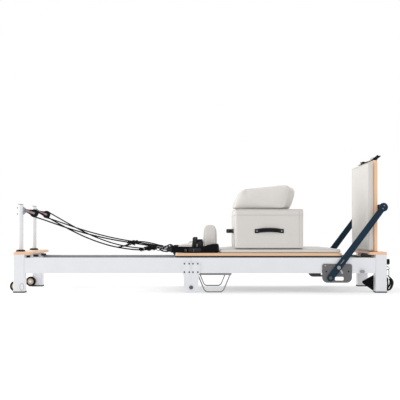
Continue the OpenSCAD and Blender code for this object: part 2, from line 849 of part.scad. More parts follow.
function wrap_point(a) = [sheave_x + sheave_path_r * cos(a), -post_y, sheave_z + sheave_path_r * sin(a)];
rope_wrap = [for (i = [0 : wrap_steps]) wrap_point(wrap_from - wrap_turn * i / wrap_steps)];
rope_route = concat(finer(rope_out), rope_wrap, finer(rope_back));

module rope() { sweep(rope_route, rope_d / 2, 8); }
module front_rope() { color(black) rope(); }
module rear_rope() { color(black) mirror([0, 1, 0]) rope(); }

// Rings at the free ends of the ropes
module rope_rings() {
  x = rope_end[0] + ring_r + ring_wire / 2 + gap;
  color(steel) both_sides() ring_y(x, rope_end[1], rope_end[2], ring_r, ring_wire);
}

// Padded hand loops: one lies on edge along the board's near edge and one stands beside the headrest
module hand_loops() {
  color(black) both_sides() {
    difference() {
      in_plan(board_top + 0.5, board_top + 58)
        round_rect(carriage_head - 30, pad_head - 3, -carriage_half + 4, -carriage_half + 50, 20, 20);
      in_plan(board_top, board_top + 60)
        round_rect(carriage_head - 22, pad_head - 11, -carriage_half + 12, -carriage_half + 42, 12, 12);
    }
    block(rests_x - 72, rests_x - 4, -rest_mid_y - 68, -rest_mid_y + 30, board_top + 0.5, board_top + 94);
    block(rope_end[0] + 34, carriage_head - 26, -256, -231, rope_end[2] - 2, rope_end[2] + 2);
  }
}

// ---- carriage ----

module carriage_board() {
  color(ply) in_plan(board_z, board_top)
    round_rect(carriage_head, carriage_foot, -carriage_half, carriage_half, 20, 20);
}

// Steel plate under the board with the roller brackets, the spring plate and the rope eyes
module carriage_frame() {
  inset = frame_inset;
  color(black) difference() {
    union() {
      in_plan(under_z, board_z) round_rect(
        carriage_head + inset, carriage_foot - inset, -carriage_half + inset, carriage_half - inset, 18, 18
      );
      for (x = [
        [carriage_foot - roller_inset - bracket_half, carriage_foot - inset],
        [carriage_head + roller_inset - bracket_half, carriage_head + roller_inset + bracket_half]
      ]) {
        block(x[0], x[1], -bracket_y - bracket_t, bracket_y + bracket_t, under_z, board_z);
        both_sides() block(x[0], x[1], -bracket_y - bracket_t, -bracket_y, axle_z - 14, under_z);
      }
      block(spring_anchor_x - 8, spring_anchor_x, -3 * spring_step, 3 * spring_step, spring_z - 13, under_z);
      both_sides() along_x(-154, -146) polygon([
        [carriage_head + 20, under_z], [carriage_head, under_z], [carriage_head - 18, board_z + 14],
        [carriage_head - 18, board_top + 8], [carriage_head - 4, board_top + 8], [carriage_head - 4, board_z],
        [carriage_head + 20, board_z]
      ]);
    }
    for (x = [carriage_head + roller_inset, carriage_foot - roller_inset])
      rod_y(-bracket_y - bracket_t - eps, bracket_y + bracket_t + eps, x, axle_z, axle_d + 2 * run);
  }
}

// Main pad with a neck between the shoulder rests
module carriage_pad() {
  inset = 2;
  color(cream) in_plan(board_top, pad_top) {
    round_rect(pad_head, carriage_foot - inset, -carriage_half + inset, carriage_half - inset, 24, 24);
    round_rect(neck_x, pad_head + 60, -neck_half, neck_half, 16, 16);
  }
}

module headrest_board() {
  color(ply) {
    in_plan(board_top + gap, board_top + gap + headrest_board_t)
      round_rect(headrest_x0, headrest_x1, -headrest_w / 2, headrest_w / 2, 14, 14);
    for (y = [-80, 80])
      rod_y(y - 20, y + 20, headrest_x1 + 4, board_top + gap + 4, 8);
  }
}
module headrest_pad() {
  z = board_top + gap + headrest_board_t;
  color(cream) in_plan(z, z + headrest_t)
    round_rect(headrest_x0, headrest_x1 - headrest_setback, -headrest_w / 2, headrest_w / 2, 24, 24);
}

// Shoulder rest: an upright padded block on a steel stem that drops into the board
module shoulder_rest() {
  color(cream) along_x(-rest_mid_y - rest_y / 2, -rest_mid_y + rest_y / 2)
    round_rect(rests_x, rests_x + rest_x, board_top + gap, board_top + gap + rest_h, 8, rest_x * 0.45);
}
module front_shoulder_rest() { shoulder_rest(); }
module rear_shoulder_rest() { mirror([0, 1, 0]) shoulder_rest(); }

module roller_axle(x) {
  color(steel) rod_y(-roller_y - roller_w, roller_y + roller_w, x, axle_z, axle_d);
  color(black) both_sides() difference() {
    rod_y(-roller_y - roller_w, -roller_y, x, axle_z, roller_d);
    rod_y(-roller_y - roller_w - eps, -roller_y + eps, x, axle_z, axle_d);
  }
}
module head_roller_axle() { roller_axle(carriage_head + roller_inset); }
module foot_roller_axle() { roller_axle(carriage_foot - roller_inset); }

// ---- box and cushion ----

module sitting_box() {
  color(cream) in_plan(box_z, box_top) round_rect(box_x0, box_x1, -box_y / 2, box_y / 2, 28, 28);
}

// Webbing handles: one across each long side, and a slacker one on the head-end side
module box_handles() {
  mid = (box_x0 + box_x1) / 2;
  color(black) {
    both_sides() translate([mid, -box_y / 2, 0]) strap_arch(95, 8);
    translate([box_x0, 0, 0]) rotate([0, 0, -90]) strap_arch(110, 44);
  }
}
// A strap riveted at its ends, which bows out from the face by the given arch
module strap_arch(span, arch) {
  seat = 22;
  t = strap_t;
  in_plan(handle_z - handle_w / 2, handle_z + handle_w / 2) polygon([
    [-span, 0], [-span, -t], [-span + seat, -t], [-span / 2, -arch - t], [span / 2, -arch - t],
    [span - seat, -t], [span, -t], [span, 0], [span - seat - t, 0], [span / 2 - t, -arch],
    [t - span / 2, -arch], [-span + seat + t, 0]
  ]);
}

module wedge_cushion() {
  color(cream) translate([cushion_mid_x, cushion_mid_y, cushion_z]) rotate([0, 0, cushion_yaw])
    along_x(-cushion_y / 2, cushion_y / 2) polygon([
      [-cushion_x / 2 + 6, 0], [cushion_x / 2 - 6, 0], [cushion_x / 2, 6],
      [cushion_x / 2 + 42, cushion_high - 28], [cushion_x / 2 + 36, cushion_high - 6],
      [cushion_x / 2 + 14, cushion_high], [-cushion_x / 2 + cushion_lean + 20, cushion_low + 3],
      [-cushion_x / 2 + cushion_lean - 14, cushion_low - 20],
      [-cushion_x / 2, 8]
    ]);
}

// ---- jump board ----

module jump_board() {
  color(ply) across_x(jump_x0, jump_x1) round_rect(-jump_w / 2, jump_w / 2, jump_z, jump_top, 10, 30);
  color(steel) for (y = [-peg_y, peg_y]) rod_z(leg_top - 18, jump_z, (jump_x0 + jump_x1) / 2, y, peg_d);
}
module jump_pad() {
  inset = 12;
  color(cream) across_x(jump_x0 - jump_pad_t, jump_x0)
    round_rect(-jump_w / 2 + inset, jump_w / 2 - inset, jump_z + 6, jump_top - inset, 20, 26);
}

// Carrying strap along the top edge, with folded pads at two places
module board_strap() {
  x0 = jump_x0 - 14;
  x1 = jump_x1 + 12;
  color(black) {
    block(x0, x1, -jump_w / 2 + 32, jump_w / 2 - 90, jump_top, jump_top + 6);
    block(x0, x1, -jump_w / 2 + 32, -jump_w / 2 + 110, jump_top + 6, jump_top + 20);
    block(x0, x1, 60, 120, jump_top + 6, jump_top + 16);
  }
}

// ---- folding stands ----

// Bent rod frame: two splayed rods and a foot in one piece, hung from a cross rod under the rail
module stand() {
  y = -stand_y;
  foot_z = stand_rod / 2 + 0.5;
  ht = stand_top / 2;
  hf = stand_foot / 2;
  top = [stand_x - ht, y, stand_z];
  low = [stand_x - hf, y, foot_z];
  along = unit(top - low);
  bend = 14;
  half = [
    top, top + 0.5 * (low - top), low + bend * along, low + 0.35 * bend * along + [0.35 * bend, 0, 0],
    low + [bend, 0, 0]
  ];
  other = [for (i = [len(half) - 1 : -1 : 0]) [2 * stand_x - half[i][0], y, half[i][2]]];
  rod_x(stand_x - ht - 8, stand_x + ht + 8, y, stand_z, stand_rod + 4);
  sweep(concat(half, other), stand_rod / 2, 12);
}
module front_stand() { color(steel) stand(); }
module rear_stand() { color(steel) mirror([0, 1, 0]) stand(); }

foot_rails();
foot_legs();
foot_leg_pads();
foot_cross_beam();
foot_platform();
foot_tracks();
foot_hinge_plates();
pivot_bolts();
foot_screws();
spring_bar();
springs();
footbar_plates();
stop_blocks();
end_knob();
snap_hook();
spare_loop();
head_rails();
head_legs();
head_leg_pads();
head_cross_beam();
head_platform();
head_tracks();
head_hinge_plates();
head_screws();
head_bumpers();
rope_posts();
post_collars();
pulley_brackets();
pulley_blocks();
front_sheave();
rear_sheave();
wheel_brackets();
front_transport_wheel();
rear_transport_wheel();
front_rope();
rear_rope();
rope_rings();
hand_loops();
carriage_board();
carriage_frame();
carriage_pad();
headrest_board();
headrest_pad();
front_shoulder_rest();
rear_shoulder_rest();
head_roller_axle();
foot_roller_axle();
sitting_box();
box_handles();
wedge_cushion();
jump_board();
jump_pad();
board_strap();
footbar_arms();
footbar_bar();
front_index_pin();
rear_index_pin();
stop_pin();
front_stand();
rear_stand();
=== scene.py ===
"""Looks for a folding pilates reformer: upholstery, ropes, straps, springs, hardware and surface finishes.

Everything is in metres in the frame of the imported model: +X to the foot end, +Y to the far side, +Z up.
"""

import math

import bpy
import numpy as np
from bpy.props import FloatProperty, FloatVectorProperty, IntProperty, PointerProperty
from bpy.types import Operator, Panel, PropertyGroup
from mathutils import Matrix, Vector


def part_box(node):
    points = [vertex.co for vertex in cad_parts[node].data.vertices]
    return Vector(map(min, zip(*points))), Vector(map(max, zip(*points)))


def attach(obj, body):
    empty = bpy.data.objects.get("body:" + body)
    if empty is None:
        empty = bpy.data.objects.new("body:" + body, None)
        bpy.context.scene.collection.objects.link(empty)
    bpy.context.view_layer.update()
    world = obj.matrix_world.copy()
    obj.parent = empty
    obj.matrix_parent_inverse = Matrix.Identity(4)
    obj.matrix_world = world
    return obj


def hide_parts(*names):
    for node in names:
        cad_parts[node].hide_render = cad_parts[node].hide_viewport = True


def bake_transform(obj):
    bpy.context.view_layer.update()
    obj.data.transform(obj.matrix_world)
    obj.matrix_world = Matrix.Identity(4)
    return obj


bl_info = {
    "name": "Pilates Reformer Looks",
    "version": (1, 0, 0),
    "blender": (4, 5, 0),
    "location": "3D View > Sidebar > Reformer",
    "description": "Builds the upholstery, ropes, straps, springs and finishes of a folding pilates reformer",
    "category": "Object",
}

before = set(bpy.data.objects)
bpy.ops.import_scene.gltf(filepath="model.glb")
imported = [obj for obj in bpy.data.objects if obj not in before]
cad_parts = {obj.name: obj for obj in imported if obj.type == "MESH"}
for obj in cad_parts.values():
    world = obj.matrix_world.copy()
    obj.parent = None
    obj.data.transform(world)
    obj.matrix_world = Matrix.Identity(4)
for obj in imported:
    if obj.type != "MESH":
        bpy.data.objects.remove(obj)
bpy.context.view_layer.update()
UP = (0.0, 0.0, 1.0)
ACROSS = (0.0, 1.0, 0.0)
ALONG = (1.0, 0.0, 0.0)
POLE = 1e-5                # radius at the ends of a turned profile
NEAR, FAR = 1, -1          # pieces are worked out on the near side, and mirrored for the far side


# ---------------------------------------------------------------- settings

def size(name, default, low, high, description):
    """A length that a user may change."""
    return FloatProperty(name=name, default=default, min=low, max=high, unit="LENGTH",
                         description=description)


def colour(name, default, description):
    """A linear colour that a user may change."""
    return FloatVectorProperty(name=name, default=default, subtype="COLOR", min=0, max=1,
                               description=description)


class ReformerFinishes(PropertyGroup):
    """Colours of the machine's finishes."""
    frame_white: colour("Frame white", (0.74, 0.75, 0.78), "Powder coat on the rails, legs and posts")
    vinyl: colour("Vinyl", (0.685, 0.66, 0.628), "Leatherette of the pads, box and cushion")
    ply: colour("Plywood", (0.83, 0.53, 0.33), "Lacquered face of the boards")
    navy: colour("Navy", (0.006, 0.024, 0.046), "Coat on the footbar's arms")
    plate: colour("Plate grey", (0.13, 0.13, 0.135), "Coat on the footbar's index plates")
    black: colour("Black", (0.0035, 0.0035, 0.005), "Straps, ropes, rubber and nylon")
    steel: colour("Steel", (0.30, 0.30, 0.315), "Zinc plated hardware")
    hub: colour("Wheel hub", (0.42, 0.33, 0.24), "Moulded hub of the transport wheels")
    rivet_red: colour("Rivet red", (0.55, 0.03, 0.02), "Plain rivet heads on the pulley straps")


class ReformerPads(PropertyGroup):
    """Sizes of the upholstered pieces."""
    quad: size("Quad", 0.011, 0.005, 0.03, "Width of the mesh squares on a pad")
    inset: size("Inset", 0.005, 0.0, 0.02, "How much smaller a pad starts than its space")
    travel: size("Travel", 0.006, 0.0, 0.03, "The most that a point may move as a pad swells")
    piping: size("Piping", 0.0024, 0.001, 0.006, "Radius of the piping along the seams")
    pressure: FloatProperty(name="Pressure", default=4.0, min=0.0, max=20.0, description="Inside a pad")


class ReformerStraps(PropertyGroup):
    """Sizes of the webbing, ropes and springs."""
    loop_width: size("Loop width", 0.050, 0.02, 0.08, "Width of the padded hand loops")
    loop_thick: size("Loop thickness", 0.008, 0.002, 0.02, "Thickness of the padded hand loops")
    web_width: size("Webbing width", 0.025, 0.01, 0.05, "Width of the webbing")
    web_thick: size("Webbing thickness", 0.0024, 0.001, 0.006, "Thickness of the webbing")
    rope: size("Rope", 0.0085, 0.004, 0.012, "Diameter of the ropes")
    coil_wire: size("Coil wire", 0.0032, 0.001, 0.005, "Diameter of the springs' wire")
    coil_turns: IntProperty(name="Coil turns", default=62, min=20, max=120, description="Turns in each spring")


class ReformerStage(PropertyGroup):
    """Camera and floor."""
    distance: size("Distance", 5.465, 2.0, 12.0, "From the middle of the machine to the camera")
    height: size("Height", 0.405, 0.0, 3.0, "Height of the camera")
    focal: FloatProperty(name="Focal length", default=72.05, min=20, max=200, unit="CAMERA",
                         description="Of the camera's lens")
    shift: FloatProperty(name="Shift", default=0.0743, min=-0.5, max=0.5,
                         description="Vertical shift of the view")
    floor: colour("Floor", (0.50, 0.50, 0.50), "Plain studio floor")


# ---------------------------------------------------------------- arrays and meshes

def unit(v):
    """Each vector over its own length."""
    return v / np.maximum(np.linalg.norm(v, axis=-1, keepdims=True), 1e-12)


def mirrored(points, side):
    """The points as they are on the near side, or with Y changed in sign for the far side."""
    return np.asarray(points, float) * (1.0, side, 1.0)


def mesh_piece(name, points, faces, material, uv=None, smooth=True):
    """A mesh object at the origin from an array of points and faces, with one (u, v) pair for each point."""
    mesh = bpy.data.meshes.new(name)
    mesh.from_pydata(np.asarray(points, float).reshape(-1, 3).tolist(), [], [list(f) for f in faces])
    mesh.update()
    if uv is not None:
        loops = np.zeros(len(mesh.loops), np.int32)
        mesh.loops.foreach_get("vertex_index", loops)
        layer = mesh.uv_layers.new(name="along")
        layer.data.foreach_set("uv", np.asarray(uv, np.float32).reshape(-1, 2)[loops].ravel())
    mesh.polygons.foreach_set("use_smooth", np.full(len(mesh.polygons), smooth))
    mesh.materials.append(material)
    piece = bpy.data.objects.new(name, mesh)
    bpy.context.scene.collection.objects.link(piece)
    return piece


def joined_piece(name, parts, material, smooth=True):
    """One mesh object from several (points, faces, uv) parts."""
    points, faces, uvs, start = [], [], [], 0
    for part_points, part_faces, part_uv in parts:
        flat = np.asarray(part_points, float).reshape(-1, 3)
        points.append(flat)
        faces += [[i + start for i in f] for f in part_faces]
        uvs.append(np.zeros((len(flat), 2)) if part_uv is None else np.asarray(part_uv, float).reshape(-1, 2))
        start += len(flat)
    return mesh_piece(name, np.concatenate(points), faces, material, np.concatenate(uvs), smooth)


def grid_faces(rows, columns, closed_rows=False, closed_columns=False):
    """Quads over a grid of rows by columns of points, joined round where a direction is closed."""
    i = np.arange(rows if closed_rows else rows - 1)[:, None]
    j = np.arange(columns if closed_columns else columns - 1)[None, :]
    i1, j1 = (i + 1) % rows, (j + 1) % columns
    a, b, c, d = i * columns + j, i1 * columns + j, i1 * columns + j1, i * columns + j1
    return np.stack([x + 0 * a for x in (a, b, c, d)], axis=-1).reshape(-1, 4).tolist()


def swept(path, profile, level=ACROSS, closed=False):
    """A profile carried along a path. A point is path(s) + a(t) * side + b(t) * lift, where side is the level
    direction made square to the path and lift is square to both. Returns points, faces and (length, turn)."""
    path, profile = np.asarray(path, float), np.asarray(profile, float)
    if closed:
        ahead, behind = np.roll(path, -1, axis=0), np.roll(path, 1, axis=0)
    else:
        ahead, behind = np.vstack([path[1:], path[-1:]]), np.vstack([path[:1], path[:-1]])
    t = unit(ahead - behind)
    level = np.broadcast_to(np.asarray(level, float), path.shape)
    side = unit(level - (level * t).sum(1, keepdims=True) * t)
    lift = np.cross(t, side)
    points = path[:, None] + profile[None, :, :1] * side[:, None] + profile[None, :, 1:2] * lift[:, None]
    rows, columns = len(path), len(profile)
    faces = grid_faces(rows, columns, closed, True)
    if not closed:
        faces += [list(range(columns)), list(range(rows * columns - 1, (rows - 1) * columns - 1, -1))]
    length = np.concatenate([[0], np.cumsum(np.linalg.norm(np.diff(path, axis=0), axis=1))])
    turn = np.arange(columns) / columns
    uv = np.stack([length[:, None] + 0 * turn, 0 * length[:, None] + turn], axis=-1)
    return points, faces, uv


def ring_profile(radius, sides):
    """Points on a circle: radius times (cos t, sin t)."""
    t = np.arange(sides) * 2 * math.pi / sides
    return np.stack([radius * np.cos(t), radius * np.sin(t)], axis=1)


def band_profile(width, thick, corner=4, power=4.0):
    """A flat strap's section: the superellipse |2a / width|^n + |2b / thick|^n = 1."""
    t = (np.arange(corner * 6) + 0.5) * 2 * math.pi / (corner * 6)
    c, s = np.cos(t), np.sin(t)
    return np.stack([np.sign(c) * np.abs(c) ** (2 / power) * width / 2,
                     np.sign(s) * np.abs(s) ** (2 / power) * thick / 2], axis=1)


def smooth_path(points, steps, closed=False):
    """A Catmull-Rom curve through the points, with the given number of steps in each span."""
    p = np.asarray(points, float)
    if closed:
        p = np.vstack([p[-1:], p, p[:2]])
    else:
        p = np.vstack([2 * p[:1] - p[1:2], p, 2 * p[-1:] - p[-2:-1]])
    t = np.linspace(0, 1, steps, endpoint=False)[None, :, None]
    a, b, c, d = (x[:, None] for x in (p[:-3], p[1:-2], p[2:-1], p[3:]))
    out = 0.5 * (2 * b + (c - a) * t + (2 * a - 5 * b + 4 * c - d) * t ** 2 + (3 * b - a - 3 * c + d) * t ** 3)
    out = out.reshape(-1, 3)
    return out if closed else np.vstack([out, p[-2:-1]])


def rounded_outline(x0, x1, y0, y1, z, radius):
    """A level rectangle with round corners, as a closed line. Each corner is centre + radius * (cos t, sin t)
    over a quarter turn, and each straight side is 24 even steps to the next corner."""
    t = np.linspace(0, math.pi / 2, 9)
    corners = [(x1, y1, 1, 1), (x0, y1, -1, 1), (x0, y0, -1, -1), (x1, y0, 1, -1)]
    arcs = [np.stack([x - sx * radius + radius * np.cos(t + quarter * math.pi / 2),
                      y - sy * radius + radius * np.sin(t + quarter * math.pi / 2), z + 0 * t], axis=1)
            for quarter, (x, y, sx, sy) in enumerate(corners)]
    sides = [np.linspace(arcs[k][-1], arcs[(k + 1) % 4][0], 25)[1:-1] for k in range(4)]
    return np.vstack([part for pair in zip(arcs, sides) for part in pair])


def turned(profile, centre, axis, sides=48):
    """A profile of (radius, height) pairs turned about an axis through the centre, closed where its radius
    is 0. A point is centre + height * axis + radius * (cos t * side + sin t * up)."""
    profile, axis = np.asarray(profile, float), unit(np.asarray(axis, float))
    other = np.array(UP) if abs(axis[2]) < 0.9 else np.array(ALONG)
    side = unit(np.cross(other, axis))
    up = np.cross(axis, side)
    t = np.arange(sides) * 2 * math.pi / sides
    ring = np.cos(t)[:, None] * side + np.sin(t)[:, None] * up
    points = np.asarray(centre, float) + profile[:, None, 1:2] * axis + profile[:, None, :1] * ring[None]
    faces = grid_faces(len(profile), sides, False, True)
    ends = [list(range(sides - 1, -1, -1)), list(range((len(profile) - 1) * sides, len(profile) * sides))]
    faces = [f[::-1] for f in faces] + ends
    uv = np.stack([profile[:, None, 1] + 0 * t, 0 * profile[:, None, 1] + t / (2 * math.pi)], axis=-1)
    return points, faces, uv


def domed(radius, height, hole=0.0):
    """Profile of a low domed head: flat under, round over, with an optional recess in its middle."""
    t = np.linspace(0, math.pi / 2, 7)
    outer = np.stack([radius * np.cos(t) ** 0.7, height * np.sin(t)], axis=1)
    outer = outer[outer[:, 0] > max(hole, radius * 0.02)]
    if hole:
        inner = [(hole, outer[-1, 1]), (hole * 0.9, height * 0.35), (POLE, height * 0.35)]
    else:
        inner = [(POLE, height)]
    return np.vstack([[(POLE, 0.0)], outer, inner])


def spacing(low, high, reach_low, reach_high, step):
    """Places along one side of a block: even angles through each rounded end and even steps between them."""
    bend = np.tan(np.linspace(math.pi / 4, 0, 6))
    start, end = low + reach_low, high - reach_high
    flat = np.linspace(start, end, max(2, round((end - start) / step)))
    return np.concatenate([low + reach_low * (1 - bend[:-1]), flat, high - reach_high * (1 - bend[-2::-1])])


def block_shell(low, high, reach_low, reach_high, step, power=2.2):
    """A closed shell over a block with rounded edges. With c the point's place on the block drawn in by reach,
    and d = (p - c) / reach, the point moves to c + reach * d / |d|, where |d| is the power norm.
    Returns points, faces and each point's place on the grid, from 0 to 1 along each side."""
    low, high, reach_low, reach_high = (np.asarray(x, float) for x in (low, high, reach_low, reach_high))
    ticks = [spacing(low[k], high[k], reach_low[k], reach_high[k], step) for k in range(3)]
    counts = [len(t) - 1 for t in ticks]
    corners = []
    for axis in range(3):
        b, c = (axis + 1) % 3, (axis + 2) % 3
        i, j = np.meshgrid(np.arange(counts[b]), np.arange(counts[c]), indexing="ij")
        for end in (0, counts[axis]):
            quad = np.zeros((i.size, 4, 3), int)
            quad[:, :, axis] = end
            for k, (di, dj) in enumerate([(0, 0), (1, 0), (1, 1), (0, 1)]):
                quad[:, k, b], quad[:, k, c] = i.ravel() + di, j.ravel() + dj
            corners.append(quad if end else quad[:, ::-1])
    corners = np.concatenate(corners)
    places, index = np.unique(corners.reshape(-1, 3), axis=0, return_inverse=True)
    p = np.stack([ticks[k][places[:, k]] for k in range(3)], axis=1)
    under = np.minimum(p - (low + reach_low), 0) / reach_low
    over = np.maximum(p - (high - reach_high), 0) / reach_high
    reach = np.where(under < 0, reach_low, reach_high)
    d = under + over
    length = (np.abs(d) ** power).sum(1, keepdims=True) ** (1 / power)
    grid = places / np.array(counts)
    return p - reach * d + reach * d / length, index.reshape(-1, 4).tolist(), grid


def seam_loop(points, grid, axis, end):
    """The points of the seam round one face of a block, in order round its middle."""
    others = [k for k in range(3) if k != axis]
    edge = (grid[:, axis] == end) & np.isin(grid[:, others], (0, 1)).any(1)
    found = np.flatnonzero(edge)
    offset = grid[found][:, others] - 0.5
    return found[np.argsort(np.arctan2(offset[:, 1], offset[:, 0]), kind="stable")]


def undulation(points, height, wave):
    """A slow waviness: height times a sum of three sines of place, with the given wavelength."""
    x, y, z = (points * (2 * math.pi / wave)).T
    waves = np.sin(x + 0.6 * y), np.sin(1.7 * y - 0.8 * z + 1.1), np.sin(1.3 * z + 0.9 * x + 2.3)
    return height * (waves[0] + waves[1] + waves[2]) / 3


def own_coordinates(piece, evaluated=False):
    """The piece's points as an array, with its modifiers if asked."""
    source = piece.evaluated_get(bpy.context.evaluated_depsgraph_get()) if evaluated else piece
    co = np.zeros(len(source.data.vertices) * 3, np.float32)
    source.data.vertices.foreach_get("co", co)
    return co.reshape(-1, 3).astype(float)


def swell(piece, held, pressure, travel, frames=20):
    """Cloth simulation of a stuffed cover: its seams and base are held, pressure swells the panels between
    them, and no point moves further than travel."""
    group = piece.vertex_groups.new(name="held")
    group.add([int(i) for i in held], 1.0, "REPLACE")
    cloth = piece.modifiers.new("cover", "CLOTH")
    cloth.settings.quality = 5
    cloth.settings.mass = 0.3
    cloth.settings.tension_stiffness = cloth.settings.compression_stiffness = 12
    cloth.settings.shear_stiffness = 6
    cloth.settings.bending_stiffness = 1.5
    cloth.settings.use_pressure = True
    cloth.settings.uniform_pressure_force = pressure
    cloth.settings.vertex_group_mass = "held"
    cloth.settings.effector_weights.gravity = 0
    cloth.point_cache.frame_start, cloth.point_cache.frame_end = 1, frames
    before = own_coordinates(piece)
    for number in range(1, frames + 1):
        bpy.context.scene.frame_set(number)
    move = own_coordinates(piece, evaluated=True) - before
    length = np.linalg.norm(move, axis=1, keepdims=True)
    move *= np.minimum(1.0, travel / np.maximum(length, 1e-9))
    piece.modifiers.remove(cloth)
    piece.data.vertices.foreach_set("co", (before + move).astype(np.float32).ravel())
    piece.data.update()
    bpy.context.scene.frame_set(1)


def finer(piece, levels=1):
    """One more subdivision, the same in the view and the render."""
    modifier = piece.modifiers.new("finer", "SUBSURF")
    modifier.levels = modifier.render_levels = levels


def upholstered(name, low, high, body, replaced, warp=None, reach=(0.022, 0.022, 0.012), reach_high=None,
                seams=((2, 1), (2, 0)), base=(2, 0), crown=0.004, slack=0.0012, more_seams=(),
                give=1.0, inset=None):
    """A padded block: its shell is drawn in from its space, crowned, swollen between its seams and finished with
    piping. A point p on the top moves up by crown * (1 - x^4) * (1 - y^4), with x and y from -1 to 1 across it.
    seams and base are faces, each an axis and an end, and give is the share of the pads' travel it may swell."""
    pads = bpy.context.scene.reformer_pads
    low, high = np.array(low, float), np.array(high, float)
    inset = pads.inset if inset is None else inset
    small_low, small_high = low + inset, high - inset
    small_low[base[0]] = low[base[0]] if base[1] == 0 else small_low[base[0]]
    small_high[base[0]] = high[base[0]] if base[1] == 1 else small_high[base[0]]
    points, faces, grid = block_shell(small_low, small_high, reach, reach_high or reach, pads.quad)
    across = 2 * grid - 1
    for axis in range(3):
        others = [k for k in range(3) if k != axis]
        bulge = np.prod(1 - across[:, others] ** 4, axis=1)
        for end in (0, 1):
            if (axis, end) != base:
                on_face = grid[:, axis] == end
                points[on_face, axis] += (crown if end else -crown) * bulge[on_face]
    loops = [seam_loop(points, grid, axis, end) for axis, end in seams]
    shape = points if warp is None else warp(points)
    free = grid[:, base[0]] != base[1]
    shape = shape + (undulation(shape, slack, 0.23) * free)[:, None] * unit(shape - shape.mean(0))
    piece = mesh_piece(name, shape, faces, finish("vinyl"))
    held = np.unique(np.concatenate([np.flatnonzero(~free)] + loops))
    swell(piece, held, pads.pressure, pads.travel * give)
    finer(piece)
    cords = []
    for loop in loops:
        path = smooth_path(own_coordinates(piece)[loop], 2, closed=True)
        cords.append(swept(path, ring_profile(pads.piping, 8), level=tube_level(path), closed=True))
    for line, closed in more_seams:
        path = laid_on(piece, np.asarray(line, float))
        level = tube_level(path) if closed else ALONG
        cords.append(swept(path, ring_profile(pads.piping * 0.6, 8), level=level, closed=closed))
    # the piping gets a darker vinyl: painted shadow along the seams
    piping = joined_piece(name + "_piping", cords, finish("shaded piping vinyl"))
    for each in (piece, piping):
        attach(each, body)
    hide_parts(*replaced)
    return piece


def laid_on(piece, path):
    """The line's points moved to the nearest points on the piece's surface."""
    evaluated = piece.evaluated_get(bpy.context.evaluated_depsgraph_get())
    return np.array([evaluated.closest_point_on_mesh(Vector(point))[1] for point in path])


def tube_level(path):
    """A direction for each point of a closed path that is never along it: out from the path's middle."""
    return unit(path - path.mean(0))


# ---------------------------------------------------------------- finishes

def node(tree, kind, inputs=None, **settings):
    """A new node with its settings and the values or links of its inputs."""
    made = tree.nodes.new(kind)
    for key, value in settings.items():
        setattr(made, key, value)
    for key, value in (inputs or {}).items():
        if isinstance(value, bpy.types.NodeSocket):
            tree.links.new(value, made.inputs[key])
        else:
            made.inputs[key].default_value = value
    return made


def noise(tree, vector, scale, detail, **others):
    """A Noise Texture."""
    return node(tree, "ShaderNodeTexNoise", {"Vector": vector, "Scale": scale, "Detail": detail, **others})


def math_node(tree, operation, a, b=0.5, c=0.5):
    """The output of a Math node."""
    return node(tree, "ShaderNodeMath", {0: a, 1: b, 2: c}, operation=operation).outputs[0]


def blended(tree, factor, a, b):
    """The colour output of a Mix node."""
    made = node(tree, "ShaderNodeMix", data_type="RGBA")
    for key, value in ((0, factor), (6, a), (7, b)):
        if isinstance(value, bpy.types.NodeSocket):
            tree.links.new(value, made.inputs[key])
        else:
            made.inputs[key].default_value = value
    return made.outputs[2]


def ramp(tree, value, stops):
    """A float from a Color Ramp with grey stops of (place, level)."""
    made = node(tree, "ShaderNodeValToRGB", {0: value})
    elements = made.color_ramp.elements
    while len(elements) < len(stops):
        elements.new(0.5)
    for element, (place, level) in zip(elements, stops):
        element.position, element.color = place, (level, level, level, 1)
    return made.outputs[0]


def group(name, inputs, outputs, build):
    """A shader node group, built once: inputs are (name, type, default), outputs are (name, type)."""
    found = bpy.data.node_groups.get(name)
    if found:
        return found
    tree = bpy.data.node_groups.new(name, "ShaderNodeTree")
    for label, kind, default in inputs:
        socket = tree.interface.new_socket(label, in_out="INPUT", socket_type=kind)
        if default is not None:
            socket.default_value = default
    for label, kind in outputs:
        tree.interface.new_socket(label, in_out="OUTPUT", socket_type=kind)
    start, end = tree.nodes.new("NodeGroupInput"), tree.nodes.new("NodeGroupOutput")
    for label, socket in build(tree, start.outputs).items():
        tree.links.new(socket, end.inputs[label])
    return tree


FLOAT, VECTOR = "NodeSocketFloat", "NodeSocketVector"


def build_soiling(tree, given):
    """Slow tone variation and small scuffs: one wide noise, and a fine one kept only at its peaks."""
    wide = noise(tree, given["Vector"], 5.0, 4.0).outputs[0]
    fine = noise(tree, given["Vector"], given["Scale"], 6.0, Roughness=0.7).outputs[0]
    return {"Tone": wide, "Scuffs": math_node(tree, "MULTIPLY", ramp(tree, fine, [(0.62, 0), (0.74, 1)]), 1.0)}


def build_leather(tree, given):
    """Leather grain: rounded cells between creases, with pores and a slow tone."""
    vector = given["Vector"]
    bend = noise(tree, vector, 60.0, 2.0).outputs[1]
    slight = node(tree, "ShaderNodeVectorMath", {0: bend, "Scale": 0.004}, operation="SCALE").outputs[0]
    moved = node(tree, "ShaderNodeVectorMath", {0: vector, 1: slight}, operation="ADD")
    cells = node(tree, "ShaderNodeTexVoronoi", {"Vector": moved.outputs[0], "Scale": given["Scale"]},
                 feature="DISTANCE_TO_EDGE").outputs[0]
    crease = ramp(tree, cells, [(0.0, 0.0), (0.16, 1.0)])
    pores = noise(tree, vector, 1400.0, 2.0).outputs[0]
    tone = noise(tree, vector, 7.0, 5.0).outputs[0]
    return {"Height": math_node(tree, "MULTIPLY_ADD", pores, 0.3, crease), "Crease": crease, "Tone": tone}


